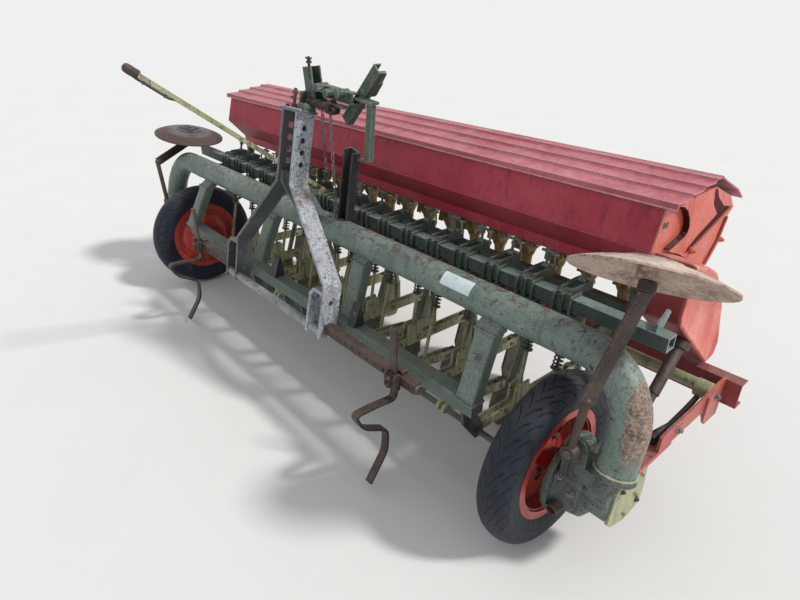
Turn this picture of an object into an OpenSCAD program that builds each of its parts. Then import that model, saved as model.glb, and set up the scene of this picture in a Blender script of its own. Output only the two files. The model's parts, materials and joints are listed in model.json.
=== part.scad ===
// Mounted seed drill, three metre working width, parked on its wheels and coulters.
// +X runs along the machine to its drive end, -Y faces the tractor, +Z is up.
// Heights are above the ground. Fore and aft places are given from the wheel axle,
// and on_axle() carries them into the frame whose origin is under the machine's middle.

/* [Overall] */
// Reach of the lift lever's grip ahead of the wheel axle
front_reach = 664; // [640:1:700]
// Reach of the lid's hinge behind the wheel axle
rear_reach = 904; // [880:1:930]

/* [Wheels] */
// Distance between the wheels' middle planes
track = 2840; // [2780:10:2900]
// Outer radius of a tyre
tyre_r = 330; // [320:1:335]
// Width of a tyre
tyre_w = 130; // [110:1:140]
// Radius at which the tyre sits on its rim
rim_seat_r = 205; // [195:1:215]
// Height of the rim's lip above the tyre's seat
rim_lip = 21; // [17:1:29]
// Depth of the wheel's dish inward of its middle plane
dish_depth = 30; // [10:1:40]
// Radius of the wheel axle
axle_r = 20; // [16:1:26]
// Radius of the wheel hub
hub_r = 44; // [40:1:55]

/* [Main frame] */
// Height of the main tube's axis
tube_z = 800; // [770:5:830]
// Main tube's axis behind the wheel axle
tube_y = 30; // [20:1:40]
// Outer radius of the main tube
tube_r = 61; // [50:1:66]
// Reach of an end leg's axis past a wheel's middle plane
leg_past = 260; // [245:5:280]
// Bend radius of the tube's ends
bend_r = 200; // [160:5:240]
// Forward lean of the end legs
leg_lean = 14.8; // [10:0.1:18]
// Height of an end leg's foot before it leans
leg_foot_z = 480; // [450:5:520]
// Place of the lower front beam ahead of the wheel axle
beam_y = -131; // [-135:1:-100]
// Height of the lower front beam's middle
beam_z = 475; // [450:5:500]
// Height and depth of the lower front beam
beam_w = 60; // [40:5:70]
// Distance kept between the lower front beam's end and a tyre
beam_clear = 160; // [120:5:200]

/* [Headstock] */
// Height of the top of the headstock's legs
head_top_z = 1318; // [1280:1:1350]
// Place of the headstock's top ahead of the wheel axle
head_top_y = -36; // [-60:1:-20]
// Backward lean of the headstock
head_lean = 11.9; // [8:0.1:15]
// Width of a headstock leg
head_w = 88; // [80:1:100]
// Thickness of a headstock leg
head_t = 14; // [10:1:18]
// Distance from the middle to an upper leg
head_x = 55; // [50:1:70]
// Distance from the middle to a leg's foot
foot_x = 390; // [360:1:410]
// Radius of a lower link pin's hole
link_hole_r = 14.4; // [11:0.1:19]
// Radius of a top link pin's hole
top_hole_r = 12.9; // [9.5:0.1:16]
// Gap between a foot's two plates
foot_gap = 80; // [60:1:90]

/* [Hopper] */
// Reach of the hopper's end wall past a wheel's middle plane
hopper_past = 57; // [20:1:70]
// Sheet thickness of the hopper
sheet = 5; // [3:0.5:8]
// Overhang of the lid past the end walls
lid_over = 42; // [30:1:50]

/* [Coulters] */
// Number of seed rows
rows = 17; // [13:2:17]
// Distance kept between the outermost seed row and a tyre
row_clear = 75; // [60:1:120]
// Width of a coulter arm's flat bar
arm_w = 40; // [30:1:45]
// Thickness of a coulter arm's flat bar
arm_t = 8; // [5:1:10]

/* [Markers] */
// Radius of a marker disc
disc_r = 214; // [190:1:220]
// Radius of a marker arm's pivot pin
marker_pin_r = 14; // [10:1:16]
// Reach of a marker arm's pivot past a wheel's middle plane
marker_past = 155; // [140:1:165]
// Height of a marker arm's pivot
marker_z = 545; // [530:1:560]

/* [Hidden] */
$fn = 48;
eps = 0.01;
axle_y = (front_reach - rear_reach) / 2;
axle_z = tyre_r;
rim_lip_r = rim_seat_r + rim_lip;
leg_x = track / 2 + leg_past;
hopper_half = track / 2 + hopper_past;
marker_x = track / 2 + marker_past;
beam_half = track / 2 - tyre_w / 2 - beam_clear;
row_pitch = (track - tyre_w - 2 * row_clear) / (rows - 1);
run_fit = 0.05;
rim_half = tyre_w / 2 - 15;
lip_t = 5;
seat_gap = 0.3;
moving_gap = 6;

module on_axle() {
    translate([0, axle_y, 0]) children();
}

module side(s) {
    if (s < 0) mirror([1, 0, 0]) children();
    else children();
}

// Places its children along +Z from point a towards point b
module along(a, b, roll = 0) {
    d = b - a;
    translate(a)
        rotate([0, acos(d[2] / norm(d)), atan2(d[1], d[0])])
            rotate([0, 0, roll]) children();
}

module rod(a, b, r) {
    along(a, b) cylinder(r = r, h = norm(b - a));
}

module bar(a, b, w, t, roll = 0) {
    along(a, b, roll) translate([-w / 2, -t / 2, 0]) cube([w, t, norm(b - a)]);
}

module u_bar(a, b, w, d, t, roll = 0) {
    along(a, b, roll) linear_extrude(norm(b - a)) difference() {
        translate([-w / 2, 0]) square([w, d]);
        translate([-w / 2 + t, t]) square([w - 2 * t, d]);
    }
}

module strip(a, b, w) {
    d = b - a;
    translate(a) rotate(atan2(d[1], d[0])) translate([0, -w / 2]) square([norm(d), w]);
}

function unit(v) = v / norm(v);

function left_of(v) = [-v[1], v[0]];

// A point of a path moved sideways by h, mitred where the path turns
function beside(p, i, h) =
    let (a = unit(p[min(i + 1, len(p) - 1)] - p[min(i, len(p) - 2)]))
    let (b = i > 0 ? unit(p[i] - p[i - 1]) : a)
    let (n = unit(left_of(a) + left_of(b)))
    p[i] + n * h / (n * left_of(a));

// A flat bar's edge view: a path as wide as the bar is thick
module ribbon(p, w) {
    last = len(p) - 1;
    polygon(concat([for (i = [0:last]) beside(p, i, w / 2)],
        [for (i = [last:-1:0]) beside(p, i, -w / 2)]));
}

// A closed outline, drawn clockwise from the middle of an edge, drawn in by h
function inset(p, h) = [for (i = [1:len(p) - 1]) beside(p, i, -h)];

// A path whose inner corners become bends that start r before each corner
function bends(p, r, n = 5) = concat([p[0]], [for (i = [1:len(p) - 2], k = [0:n])
    let (a = p[i] - unit(p[i] - p[i - 1]) * r)
    let (b = p[i] + unit(p[i + 1] - p[i]) * r)
    let (u = k / n)
    a * (1 - u) * (1 - u) + p[i] * 2 * u * (1 - u) + b * u * u], [p[len(p) - 1]]);

// An outline drawn in Y and Z, as thick as t along X, with its middle at x
module plate_x(x, t) {
    translate([x - t / 2, 0, 0]) rotate([90, 0, 90]) linear_extrude(t) children();
}

// An outline drawn in X and Z, as wide as w along Y, with its middle at y
module plate_y(y, w) {
    translate([0, y + w / 2, 0]) rotate([90, 0, 0]) linear_extrude(w) children();
}

module rod_x(x0, x1, y, z, r) {
    translate([x0, y, z]) rotate([0, 90, 0]) cylinder(r = r, h = x1 - x0);
}

module wheel_place(s) {
    side(s) on_axle() translate([track / 2, 0, axle_z]) rotate([0, 90, 0]) children();
}

module tyre(s) {
    crown = 76;
    bead = rim_half - lip_t - seat_gap;
    wheel_place(s) rotate_extrude($fn = 96) {
        intersection() {
            translate([tyre_r - crown, 0]) circle(r = crown, $fn = 96);
            translate([rim_lip_r + 2, -tyre_w / 2]) square([tyre_r, tyre_w]);
        }
        translate([rim_seat_r, -bead]) square([40, 2 * bead]);
    }
}

module rim(s) {
    half = rim_half;
    well_r = rim_seat_r - 22;
    wheel_place(s) {
        rotate_extrude($fn = 96) difference() {
            union() {
                translate([well_r, -half]) square([rim_seat_r - seat_gap - well_r, 2 * half]);
                for (e = [-half, half - lip_t]) translate([well_r, e])
                    square([rim_lip_r - well_r, lip_t]);
            }
            translate([0, -half - eps]) square([well_r + lip_t, half - dish_depth - 8]);
            translate([0, -dish_depth + 8]) square([well_r + lip_t, 2 * half]);
        }
        difference() {
            union() {
                translate([0, 0, -dish_depth - 8]) cylinder(r = well_r + 2, h = 12);
                translate([0, 0, -60]) cylinder(r = hub_r, h = 130);
            }
            translate([0, 0, -61]) cylinder(r = axle_r + run_fit, h = 132);
            for (a = [0:60:300]) rotate(a) translate([hub_r + 66, 0, -dish_depth - 10])
                cylinder(r = 22, h = 16);
        }
    }
}

module bent_tube() {
    translate([0, tube_y, tube_z]) rotate([-leg_lean, 0, 0]) {
        rod_x(bend_r - leg_x, leg_x - bend_r, 0, 0, tube_r);
        for (s = [-1, 1]) side(s) {
            translate([leg_x - bend_r, 0, -bend_r]) rotate([90, 0, 0])
                rotate_extrude(angle = 90) translate([bend_r, 0]) circle(r = tube_r);
            translate([leg_x, 0, leg_foot_z - tube_z])
                cylinder(r = tube_r, h = tube_z - bend_r - leg_foot_z);
        }
    }
}

module main_tube() {
    color("#5f7f70") on_axle() {
        bent_tube();
        for (s = [-1, 1]) side(s) plate_x(head_x - head_t / 2 - 6 - seat_gap, 12) polygon([
            [tube_y, tube_z + tube_r - 2], [tube_y, tube_z], [tube_y - tube_r + 4, tube_z - 10],
            [-130, 1020], [-120, 1070], [-60, 1050]]);
    }
}

module struts() {
    color("#5f7f70") on_axle() for (s = [-1, 1]) side(s) {
        difference() {
            union() {
                u_bar([beam_half - 62, tube_y - 30, tube_z], [beam_half - 30, beam_y - 20, beam_z],
                    80, 36, 7, 90);
                u_bar([377, tube_y, tube_z], [408, beam_y + 30, beam_z], 80, 36, 7, 90);
            }
            rod_x(0, leg_x, tube_y, tube_z, tube_r + seat_gap);
            translate([0, beam_y - 200, beam_z - 200]) cube([leg_x, 400, 200 + beam_w / 2 + seat_gap]);
        }
    }
}

module lower_beam() {
    color("#5f7f70") on_axle() {
        translate([-beam_half, beam_y - beam_w / 2, beam_z - beam_w / 2])
            cube([2 * beam_half, beam_w, beam_w]);
    }
}

module axle_casting(s) {
    color("#5f7f70") side(s) on_axle() {
        difference() {
            union() {
                rod_x(track / 2 + 74, leg_x - 80, 0, axle_z, 112);
                translate([leg_x - 120, -110, 272]) cube([130, 250, 150]);
                translate([leg_x, -58, 420]) cylinder(r = tube_r + 14, h = 30);
            }
            translate([leg_x - 105, -111, 250]) cube([100, 220, 120]);
            for (y = [-60, 0, 60]) rod_x(leg_x - 20, leg_x + 11, y, 345, 13);
        }
        rod_x(track / 2 - 72, leg_x - 80, 0, axle_z, axle_r);
        rod_x(track / 2 - 72 - 14, track / 2 - 72, 0, axle_z, 30);
        translate([marker_x - 40, -112, 400]) cube([80, 14, 175]);
        translate([marker_x, -98, marker_z]) rotate([90, 0, 0]) cylinder(r = marker_pin_r, h = 66);
    }
}

module head_frame() {
    on_axle() translate([0, head_top_y, head_top_z]) rotate([-head_lean, 0, 0])
        translate([0, 0, -head_top_z]) children();
}

module head_leg() {
    knee = head_top_z - 305;
    elbow = head_top_z - 670;
    foot = head_top_z - 905;
    difference() {
        plate_y(0, head_w) ribbon([[head_x, head_top_z], [head_x, knee],
            [foot_x, elbow], [foot_x, foot]], head_t);
        for (z = [62:52:218]) rod_x(0, 100, 0, head_top_z - z, top_hole_r);
        foot_holes(foot_x, foot);
    }
}

module foot_holes(x, foot) {
    rod_x(x - 40, x + 40, 0, foot + 160, link_hole_r);
    rod_x(x - 40, x + 40, 0, foot + 62, 9);
    rod_x(x - 40, x + 40, crossbar_y, foot + crossbar_up, crossbar_r + seat_gap);
}

// The outer or inner plate of a foot, joined to its leg by a bent top
module foot_plate(xp) {
    top = head_top_z - 700;
    foot = head_top_z - 905;
    in = sign(foot_x - xp) * 26;
    difference() {
        plate_y(-10, head_w - 16) ribbon([[foot_x - sign(in) * head_t / 2, top],
            [xp + in, top], [xp, top - 26], [xp, foot]], head_t);
        foot_holes(xp, foot);
    }
}

module headstock_left() {
    color("#4d5552") head_frame() side(-1) {
        head_leg();
        foot_plate(foot_x + foot_gap + head_t);
    }
}

module headstock_right() {
    color("#b9b8b2") head_frame() {
        head_leg();
        foot_plate(foot_x - foot_gap - head_t);
    }
}

crossbar_y = -22;
crossbar_up = 22;
crossbar_r = 20;

module hitch_crossbar() {
    outer = foot_x + foot_gap + 1.5 * head_t;
    color("#a9a9a4") head_frame() rod_x(-outer, foot_x + head_t / 2, crossbar_y,
        head_top_z - 905 + crossbar_up, crossbar_r);
}

module headstock_top() {
    half = head_x + head_t / 2 + 22;
    color("#6a6f69") head_frame() {
        translate([-half, -head_w / 2, head_top_z]) cube([2 * half, head_w, plate_t]);
    }
}

plate_t = 10;

module top_screw() {
    color("#6b4a3a") head_frame() translate([-14, -14, head_top_z + plate_t + seat_gap]) {
        cylinder(r = 13, h = 20);
        cylinder(r = 7, h = 84);
        translate([0, 0, 44]) rotate([0, -90, 0]) cylinder(r = 6, h = 26);
        translate([0, 0, 60]) cylinder(r = 12, h = 12, $fn = 6);
    }
}

// The post leans, and the changeover's hanger lies along its right flange
post_foot = [187, 75, 865];
post_lean = unit([71, 0, 317]);
post_side = [post_lean[2], 0, -post_lean[0]];
post_w = 64;
hanger_w = 45;

module changeover() {
    hanger = post_foot + post_side * (post_w / 2 + hanger_w / 2 + seat_gap);
    color("#4f6f5c") {
        on_axle() {
            u_bar([46, 34, 1340], [20, 34, 1500], 96, 44, 6);
            rod([44, 12, 1430], [44, 12, 1524], 6);
            translate([44, 12, 1508]) cylinder(r = 11, h = 9, $fn = 6);
            u_bar([60, 30, 1398], [305, 30, 1398], 44, 34, 6);
            for (x = [104, 238]) translate([x, 20, 1416]) rotate([-90, 0, 0]) cylinder(r = 19, h = 52);
            u_bar([187, 92, 1300], [437, 92, 1533], 80, 40, 6, -90);
            u_bar(hanger + post_lean * 290, hanger + post_lean * 600, hanger_w, 25, 6, 180);
            for (x = [90, 150]) translate([x, 6, 1352]) rotate([-90, 0, 0]) cylinder(r = 22, h = 50);
            translate([80, 10, 1352]) cube([90, 40, 50]);
        }
        head_frame() translate([20, -20, head_top_z + plate_t + seat_gap]) cube([58, 60, 30]);
    }
}

module post() {
    color("#2b2d2f") on_axle() difference() {
        u_bar(post_foot - post_lean * 36, post_foot + post_lean * 325, post_w, 40, 6, 180);
        rod_x(0, 400, tube_y, tube_z, tube_r + seat_gap);
    }
}

module link(w, l, t) {
    linear_extrude(t, center = true) difference() {
        square([w, l], center = true);
        square([w - 2 * t, l - 2 * t], center = true);
    }
}

module chains() {
    pitch = 20;
    color("#6d6862") on_axle() {
        for (c = [[150, 28, 1330, 22], [90, 28, 1330, 12]]) {
            for (i = [0:c[3] - 1]) translate([c[0], c[1], c[2] - seat_gap - 13 - i * pitch])
                rotate([90, 0, i % 2 == 0 ? 0 : 90]) link(16, 26, 5);
        }
    }
}

module tine_bar() {
    color("#4a3a32") on_axle() {
        right_x = foot_x + head_t / 2 + seat_gap;
        left_x = foot_x + foot_gap + 1.5 * head_t + seat_gap;
        translate([right_x, tine_bar_y - 20, beam_z - 15]) cube([980 - right_x, 40, 40]);
        translate([-980, tine_bar_y - 20, beam_z - 15]) cube([980 - left_x, 40, 40]);
    }
}

// Flat black brackets bolted on the lower beam's top beside the headstock's feet
module beam_brackets() {
    color("#26292b") on_axle() for (x = [-170, 490]) {
        plate_x(x, 46) polygon([[beam_y - 30, beam_z + beam_w / 2 + seat_gap],
            [beam_y + 30, beam_z + beam_w / 2 + seat_gap], [beam_y + 18, beam_z + 130],
            [beam_y + 8, beam_z + 130]]);
        rod_x(x - 30, x + 30, beam_y + 10, beam_z + 90, 9);
    }
}

module tine(s) {
    bar_front = tine_bar_y - 20 - seat_gap;
    color("#6b4a3a") side(s) on_axle() {
        plate_x(874, 32) ribbon(bends([[bar_front - 6.3, 700], [bar_front - 6.3, 392],
            [-330, 404], [-440, 408], [-400, 330], [-286, 268], [-292, 160], [-378, 40]], 34), 12);
        translate([842, bar_front - 22, 446]) cube([64, 10, 60]);
        for (x = [850, 898], z = [456, 496]) rod([x, bar_front - 30, z], [x, bar_front, z], 6);
    }
}

tine_bar_y = -215;
hopper_front_line = [[369, 1180], [326, 1033], [500, 847], [520, 847]];
hinge_z = 1092;
knuckle_r = 11;
hinge_y = rear_reach - knuckle_r;
hopper_mid = 640;
hinge_run = 253;

// Moves the points behind the hopper's middle along with the lid's hinge
function aft(line) = [for (p = line)
    [p[0] + max(0, p[0] - hopper_mid) * ((hinge_y - hopper_mid) / hinge_run - 1), p[1]]];

hopper_rear_line = concat(aft([[520, 847], [700, 847], [754, 875], [810, 950]]),
    [[hinge_y - 53, 1050], [hinge_y - 13, 1078]]);
hopper_end_line = aft([[366, 1183], [322, 1033], [498, 842], [704, 842], [758, 872], [815, 948],
    [845, 1047], [880, 1080], [820, 1130], [700, 1180], [670, 1190]]);

module hopper_panel(line) {
    on_axle() plate_x(0, 2 * hopper_half) ribbon(line, sheet);
}

module hopper_front() {
    color("#a02a36") hopper_panel(hopper_front_line);
}

module hopper_rear() {
    color("#a02a36") {
        translate([0, seat_gap, 0]) hopper_panel([for (p = hopper_rear_line) p + [2.6, 0]]);
        on_axle() hinge_pins();
    }
}

// Raised end housing: its front edge sweeps in and out round the hopper's corner
end_housing = aft([[398, 1176], [440, 1166], [474, 1146], [500, 1116], [515, 1084], [512, 1062],
    [492, 1048], [446, 1036], [400, 1027], [404, 1022], [474, 996], [555, 955], [640, 852],
    [700, 852], [752, 881], [808, 952], [836, 1048], [866, 1074], [816, 1124], [700, 1172],
    [664, 1188], [500, 1186]]);
end_brace = aft([[834, 1078], [564, 984]]);
end_flange = aft([[820, 1048], [790, 958], [726, 884]]);
end_knob = aft([[806, 962]])[0];

module hopper_end(s) {
    outer = hopper_half + sheet + seat_gap;
    color("#d9402e") side(s) on_axle() {
        plate_x(hopper_half + sheet / 2 + seat_gap, sheet) polygon(hopper_end_line);
        plate_x(outer + 10, 22) polygon(end_housing);
        plate_x(outer + 14, 30) strip(end_brace[0], end_brace[1], 10);
        plate_x(outer + 14, 30) ribbon(end_flange, 9);
        rod_x(outer + 8, outer + 32, end_brace[1][0], end_brace[1][1], 13);
        rod_x(outer + 8, outer + 30, end_knob[0], end_knob[1], 10);
    }
}

module hopper_beam() {
    color("#3c4a44") on_axle() u_bar([77 - hopper_half, 400, 745], [hopper_half - 77, 400, 745], 70, 40, 6, 0);
}

// Ribs that carry the hopper from the top of the main tube, over the pressure bar
module hopper_brackets() {
    color("#5f7f70") on_axle() difference() {
        for (x = [67 - hopper_half, -3.5 * row_pitch, 3.5 * row_pitch, hopper_half - 67])
            plate_x(x, 14) polygon([[-12, 800], [20, 862], [60, 902], [150, 898], [250, 896], [380, 930], [407, 940], [466, 878],
            [440.4, 870], [440.4, 700], [399.6, 700], [399.6, 800], [250, 862],
            [120, 866], [96, 840], [60, 800]]);
        rod_x(-hopper_half, hopper_half, tube_y, tube_z, tube_r + seat_gap);
        translate([-hopper_half, 400 - seat_gap, 710 - seat_gap])
            cube([2 * hopper_half, 41, 70 + 2 * seat_gap]);
    }
}

module lid() {
    half = hopper_half + lid_over;
    color("#b5454e") on_axle() {
        plate_x(0, 2 * half) {
                ribbon(concat(aft([[352, 1174], [356, 1194], [434, 1196], [446, 1206], [516, 1207],
                    [528, 1217], [598, 1217], [610, 1226], [652, 1226], [664, 1220],
                    [700, 1203], [820, 1152]]), [[hinge_y - 8, hinge_z + 16]]), sheet);
        }
        for (x = [-1200, 0, 1200]) difference() {
            union() {
                rod_x(x - 40, x + 40, hinge_y, hinge_z, knuckle_r);
                plate_x(x, 80) strip([hinge_y, hinge_z + 4], [hinge_y - 8, hinge_z + 15], 10);
            }
            rod_x(x - 41, x + 41, hinge_y, hinge_z, 5 + run_fit);
        }
    }
}

module hinge_pins() {
    for (x = [-1200, 0, 1200]) {
        rod_x(x - 60, x + 60, hinge_y, hinge_z, 5);
        for (e = [-56, 56]) plate_x(x + e, 12) polygon([[hinge_y + 6, hinge_z + 8],
            [hinge_y - 8, hinge_z + 8], [hinge_y - 14, hinge_z - 16], [hinge_y + 6, hinge_z - 12]]);
    }
}

cover_x = hopper_half + sheet + 2 * seat_gap;
cover_w = 137.4;
cover_line = bends([[400, 1018], [470, 990], [548, 950], [680, 790], [764, 590], [750, 530],
    [680, 515], [540, 635], [330, 815], [318, 850], [340, 1036], [400, 1018]], 16, 4);

// Pressed in three steps, each a little smaller than the one behind it
module gear_cover() {
    color("#e0503e") on_axle() translate([cover_x + cover_w / 2, 0, 0]) {
        plate_x(-7, cover_w - 14) polygon(inset(cover_line, 0));
        plate_x(-2, cover_w - 4) polygon(inset(cover_line, 4));
        plate_x(0, cover_w) polygon(inset(cover_line, 9));
    }
}

function row_x(i) = (i - (rows - 1) / 2) * row_pitch;

module metering_units() {
    color("#8a6a3a") on_axle() difference() {
        for (i = [0:rows - 1]) plate_x(row_x(i), 64) polygon([[540, 844.2], [690, 844.2],
            [686, 800], [642, 740], [588, 740], [548, 800]]);
        rod_x(-hopper_half, hopper_half, feed_y, feed_z, feed_r + seat_gap);
    }
}

feed_y = 636;
feed_z = 800;
feed_r = 12;

module feed_shaft() {
    color("#6d6f70") on_axle() rod_x(37 - hopper_half, cover_x - seat_gap, feed_y, feed_z, feed_r);
}

bar_y = 200;
bar_z = 826;
bar_w = 50;
bar_top = bar_z + bar_w / 2;
bar_half = leg_x - 25;
rod_top = [300, 930];

module pressure_bar() {
    color("#57695f") on_axle() difference() {
        plate_x(0, 2 * bar_half) translate([bar_y, bar_z]) square(bar_w, center = true);
        for (s = [-1, 1]) side(s) plate_x(bar_half, 120) translate([bar_y, bar_z])
            square(bar_w - 12, center = true);
        for (x = [-3, -1, 1, 3]) translate([x * 1.5 * row_pitch - 7, bar_y - bar_w / 2 - 1, bar_z - 7])
            cube([14, 9, 14]);
    }
    color("#a9b884") on_axle() side(1) plate_x(leg_x - 75, 8) polygon([[bar_y - 20, bar_top - 3],
        [bar_y + 24, bar_top - 3], [bar_y + 62, bar_top + 44], [bar_y + 44, bar_top + 58],
        [bar_y - 12, bar_top + 26]]);
}

// Each row's clamp grips the bar and carries a fork for its spring rod
module row_clamps() {
    in = bar_w / 2 + seat_gap;
    top = bar_z + in + 12;
    color("#5f7f70") on_axle() for (i = [0:rows - 1]) {
        plate_x(row_x(i), 14) translate([bar_y, bar_z]) difference() {
            square(2 * in + 20, center = true);
            square(2 * in, center = true);
        }
        translate([row_x(i) - 25, bar_y - 24, bar_z + in]) cube([50, 48, 12]);
        for (s = [-1, 1]) plate_x(row_x(i) + s * 21, 8) polygon([[bar_y - 18, top - 6],
            [bar_y - 10, top + 14], [rod_top[0] + 8, top + 10], [rod_top[0] + 22, top - 4],
            [rod_top[0] + 18, top - 26], [bar_y + 34, top - 12], [bar_y + 24, top - 6]]);
    }
}

module spring(a, b, r, wire, turns) {
    l = norm(b - a);
    step = l / turns;
    along(a, b) rotate_extrude($fn = 24) {
        square([r - wire, l]);
        for (i = [0:turns - 1]) translate([r - wire, (i + 0.5) * step]) circle(r = wire, $fn = 12);
    }
}

module springs() {
    color("#4b5a50") on_axle() for (i = [0:rows - 1]) {
        x = row_x(i);
        low = (i % 2 == 0) ? [x, 135, arm_z(front_arm, 135)] : [x, 212, arm_z(rear_arm, 212) + 74];
        high = [x, rod_top[0], rod_top[1]];
        d = unit(high - low);
        pin = high - d * 58;
        rod(low, high, 7);
        rod_x(x - 11.7, x + 11.7, low[1], low[2], 12);
        rod_x(x - 16.7, x + 16.7, pin[1], pin[2], 12);
        rod_x(x - 26, x + 26, high[1], high[2], 6);
        spring(high - d * 130, high - d * 400, 17, 4, 16);
    }
}

module seed_tubes() {
    color("#7d8f74") on_axle() for (i = [0:rows - 1]) {
        y = (i % 2 == 0) ? front_row_y : rear_row_y;
        knee = (i % 2 == 0) ? 490 : 612;
        top = [row_x(i), y + 36, 232];
        translate([row_x(i), 615, 680]) cylinder(r = 20, h = 60 - seat_gap);
        rod([row_x(i), 615, 690], [row_x(i), knee, 500], 18);
        rod([row_x(i), knee, 520], top, 15);
        translate([row_x(i), y + 36, 200]) cylinder(r = 15, h = 34);
    }
}

front_row_y = 350;
rear_row_y = 625;
pivot = [-60, 305];
pivot_r = 12;
front_arm = [pivot, [306, 252]];
rear_arm = [pivot, [588, 286]];

// Height of an arm's middle line at y
function arm_z(arm, y) = arm[0][1]
    + (arm[1][1] - arm[0][1]) * (y - arm[0][0]) / (arm[1][0] - arm[0][0]);

// Two flat bars side by side, bored for the pivot rod and joined by spacers
module arm_pair(x, arm, spacers) {
    difference() {
        for (s = [-1, 1]) plate_x(x + s * (12 + arm_t / 2), arm_t) {
            strip(arm[0], arm[1], arm_w);
            translate(arm[0]) circle(r = arm_w / 2 + 2);
        }
        rod_x(x - 40, x + 40, arm[0][0], arm[0][1], pivot_r + seat_gap);
    }
    for (y = spacers) rod_x(x - 13, x + 13, y, arm_z(arm, y), 8);
}

module arms_front() {
    color("#a9b884") on_axle() for (i = [0:2:rows - 1]) {
        arm_pair(row_x(i), front_arm, [40]);
        rod_x(row_x(i) - 26, row_x(i) + 26, 135, arm_z(front_arm, 135) - 40, 6);
    }
}

module arms_rear() {
    color("#a9b884") on_axle() for (i = [1:2:rows - 1]) {
        arm_pair(row_x(i), rear_arm, [60, 420]);
        z = arm_z(rear_arm, 212);
        for (s = [-1, 1]) plate_x(row_x(i) + s * 16, arm_t)
            polygon([[160, z + 10], [172, z + 92], [252, z + 92], [262, z + 10]]);
    }
}

// A curved drag shoe with a seed boot behind it, hung between an arm's bars
module shoe(x, y, arm) {
    end = arm[1];
    plate_x(x, 22.8) polygon([[end[0] - 40, end[1] - 18], [end[0] - 34, end[1] + 24],
        [end[0] + 30, end[1] + 20], [end[0] + 36, end[1] - 30]]);
    difference() {
        union() {
            plate_x(x, 12) polygon(bends([[end[0] - 36, end[1] - 6], [end[0] + 30, end[1] + 6],
                [y + 26, 200], [y + 60, 90], [y + 26, 0.5], [y - 40, 6], [y - 92, 70],
                [y - 110, 150]], 16, 4));
            translate([x, y + 36, 70]) cylinder(r = 21, h = 152);
        }
        translate([x, y + 36, 198]) cylinder(r = 15 + seat_gap, h = 40);
    }
}

module shoes_front() {
    color("#a9b884") on_axle() for (i = [0:2:rows - 1]) shoe(row_x(i), front_row_y, front_arm);
}

module shoes_rear() {
    color("#a9b884") on_axle() for (i = [1:2:rows - 1]) shoe(row_x(i), rear_row_y, rear_arm);
}

// The rod that all the arms hang on, and the hangers that hold it under the beam
module coulter_rail() {
    under = beam_z - beam_w / 2 - seat_gap;
    color("#6f8065") on_axle() {
        rod_x(-row_x(rows - 1) - 24, row_x(rows - 1) + 24, pivot[0], pivot[1], pivot_r);
        for (x = [46 - beam_half, -4.5 * row_pitch, -2.5 * row_pitch, -row_pitch / 2,
                row_pitch / 2, 2.5 * row_pitch, 4.5 * row_pitch, beam_half - 46]) plate_x(x, 12)
            polygon([[beam_y - 28, under], [beam_y + 28, under], [pivot[0] + 20, pivot[1] + 22],
                [pivot[0] + 22, pivot[1] - 20], [pivot[0] - 20, pivot[1] - 22], [beam_y - 20, 380]]);
    }
}

module cross_tube() {
    color("#a9b884") on_axle() {
        rod_x(30 - leg_x, leg_x - 30, 555, 505, 22);
        for (e = [-1, 1]) side(e) rod_x(leg_x - 30, leg_x + 20 - seat_gap, 555, 495, 34);
    }
}

// Runs from the gear cover's sloping front down to the right wheel's casting
module drive_shaft() {
    face = unit([0, -180, -210]);
    mouth = [leg_x - 90, 470, 695];
    color("#4a4f4c") on_axle() {
        along(mouth + face * seat_gap, mouth + face * 30) cylinder(r = 32, h = 26);
        rod(mouth + face * 12, [leg_x - 75, 290, 565], 20);
        rod([leg_x - 75, 294, 568], [leg_x - 60, 120, 446], 15);
        translate([leg_x - 78, 96, 422 + seat_gap]) cube([36, 48, 36]);
    }
}

module side_bar(s) {
    color("#c8503c") side(s) on_axle() {
        difference() {
            translate([leg_x - 40, 60, 422 + seat_gap]) cube([70, 210, 16]);
            for (y = [168, 206, 244]) translate([leg_x - 12, y, 400]) cylinder(r = 6, h = 60);
        }
        plate_x(leg_x + 25, 10) polygon([[180, 500], [180, 438], [500, 438], [560, 350],
            [rear_beam_y - seat_gap, 350], [rear_beam_y - seat_gap, 515]]);
        plate_x(leg_x + 34, 8) strip([520, 500], [520, 392], 26);
    }
}

rear_beam_y = 660;

module rear_beam() {
    color("#8a2b2b") on_axle() difference() {
        translate([-leg_x - 86, rear_beam_y, 402]) cube([2 * leg_x + 172, 52, 106]);
        translate([-leg_x - 87, rear_beam_y + 6, 408]) cube([2 * leg_x + 174, 60, 94]);
    }
}

lever_x = -row_pitch - 65;

module lever() {
    grip_r = 14;
    grip_root = [lever_x, -540, 1441];
    grip_tip = [lever_x, grip_r - front_reach, 1523];
    color("#a3ab7a") on_axle() {
        u_bar([lever_x, 215, 870], [lever_x, -560, 1456], 40, 18, 4, 90);
        translate([lever_x - 20, bar_y - 25, bar_z + bar_w / 2 + seat_gap]) cube([40, 55, 26]);
    }
    color("#6a6c6a") on_axle() {
        along(grip_root, grip_tip) rotate_extrude() {
            square([grip_r, norm(grip_tip - grip_root)]);
            translate([0, norm(grip_tip - grip_root)]) intersection() {
                circle(r = grip_r);
                square(grip_r);
            }
        }
    }
}

marker_y = -145;

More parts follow.
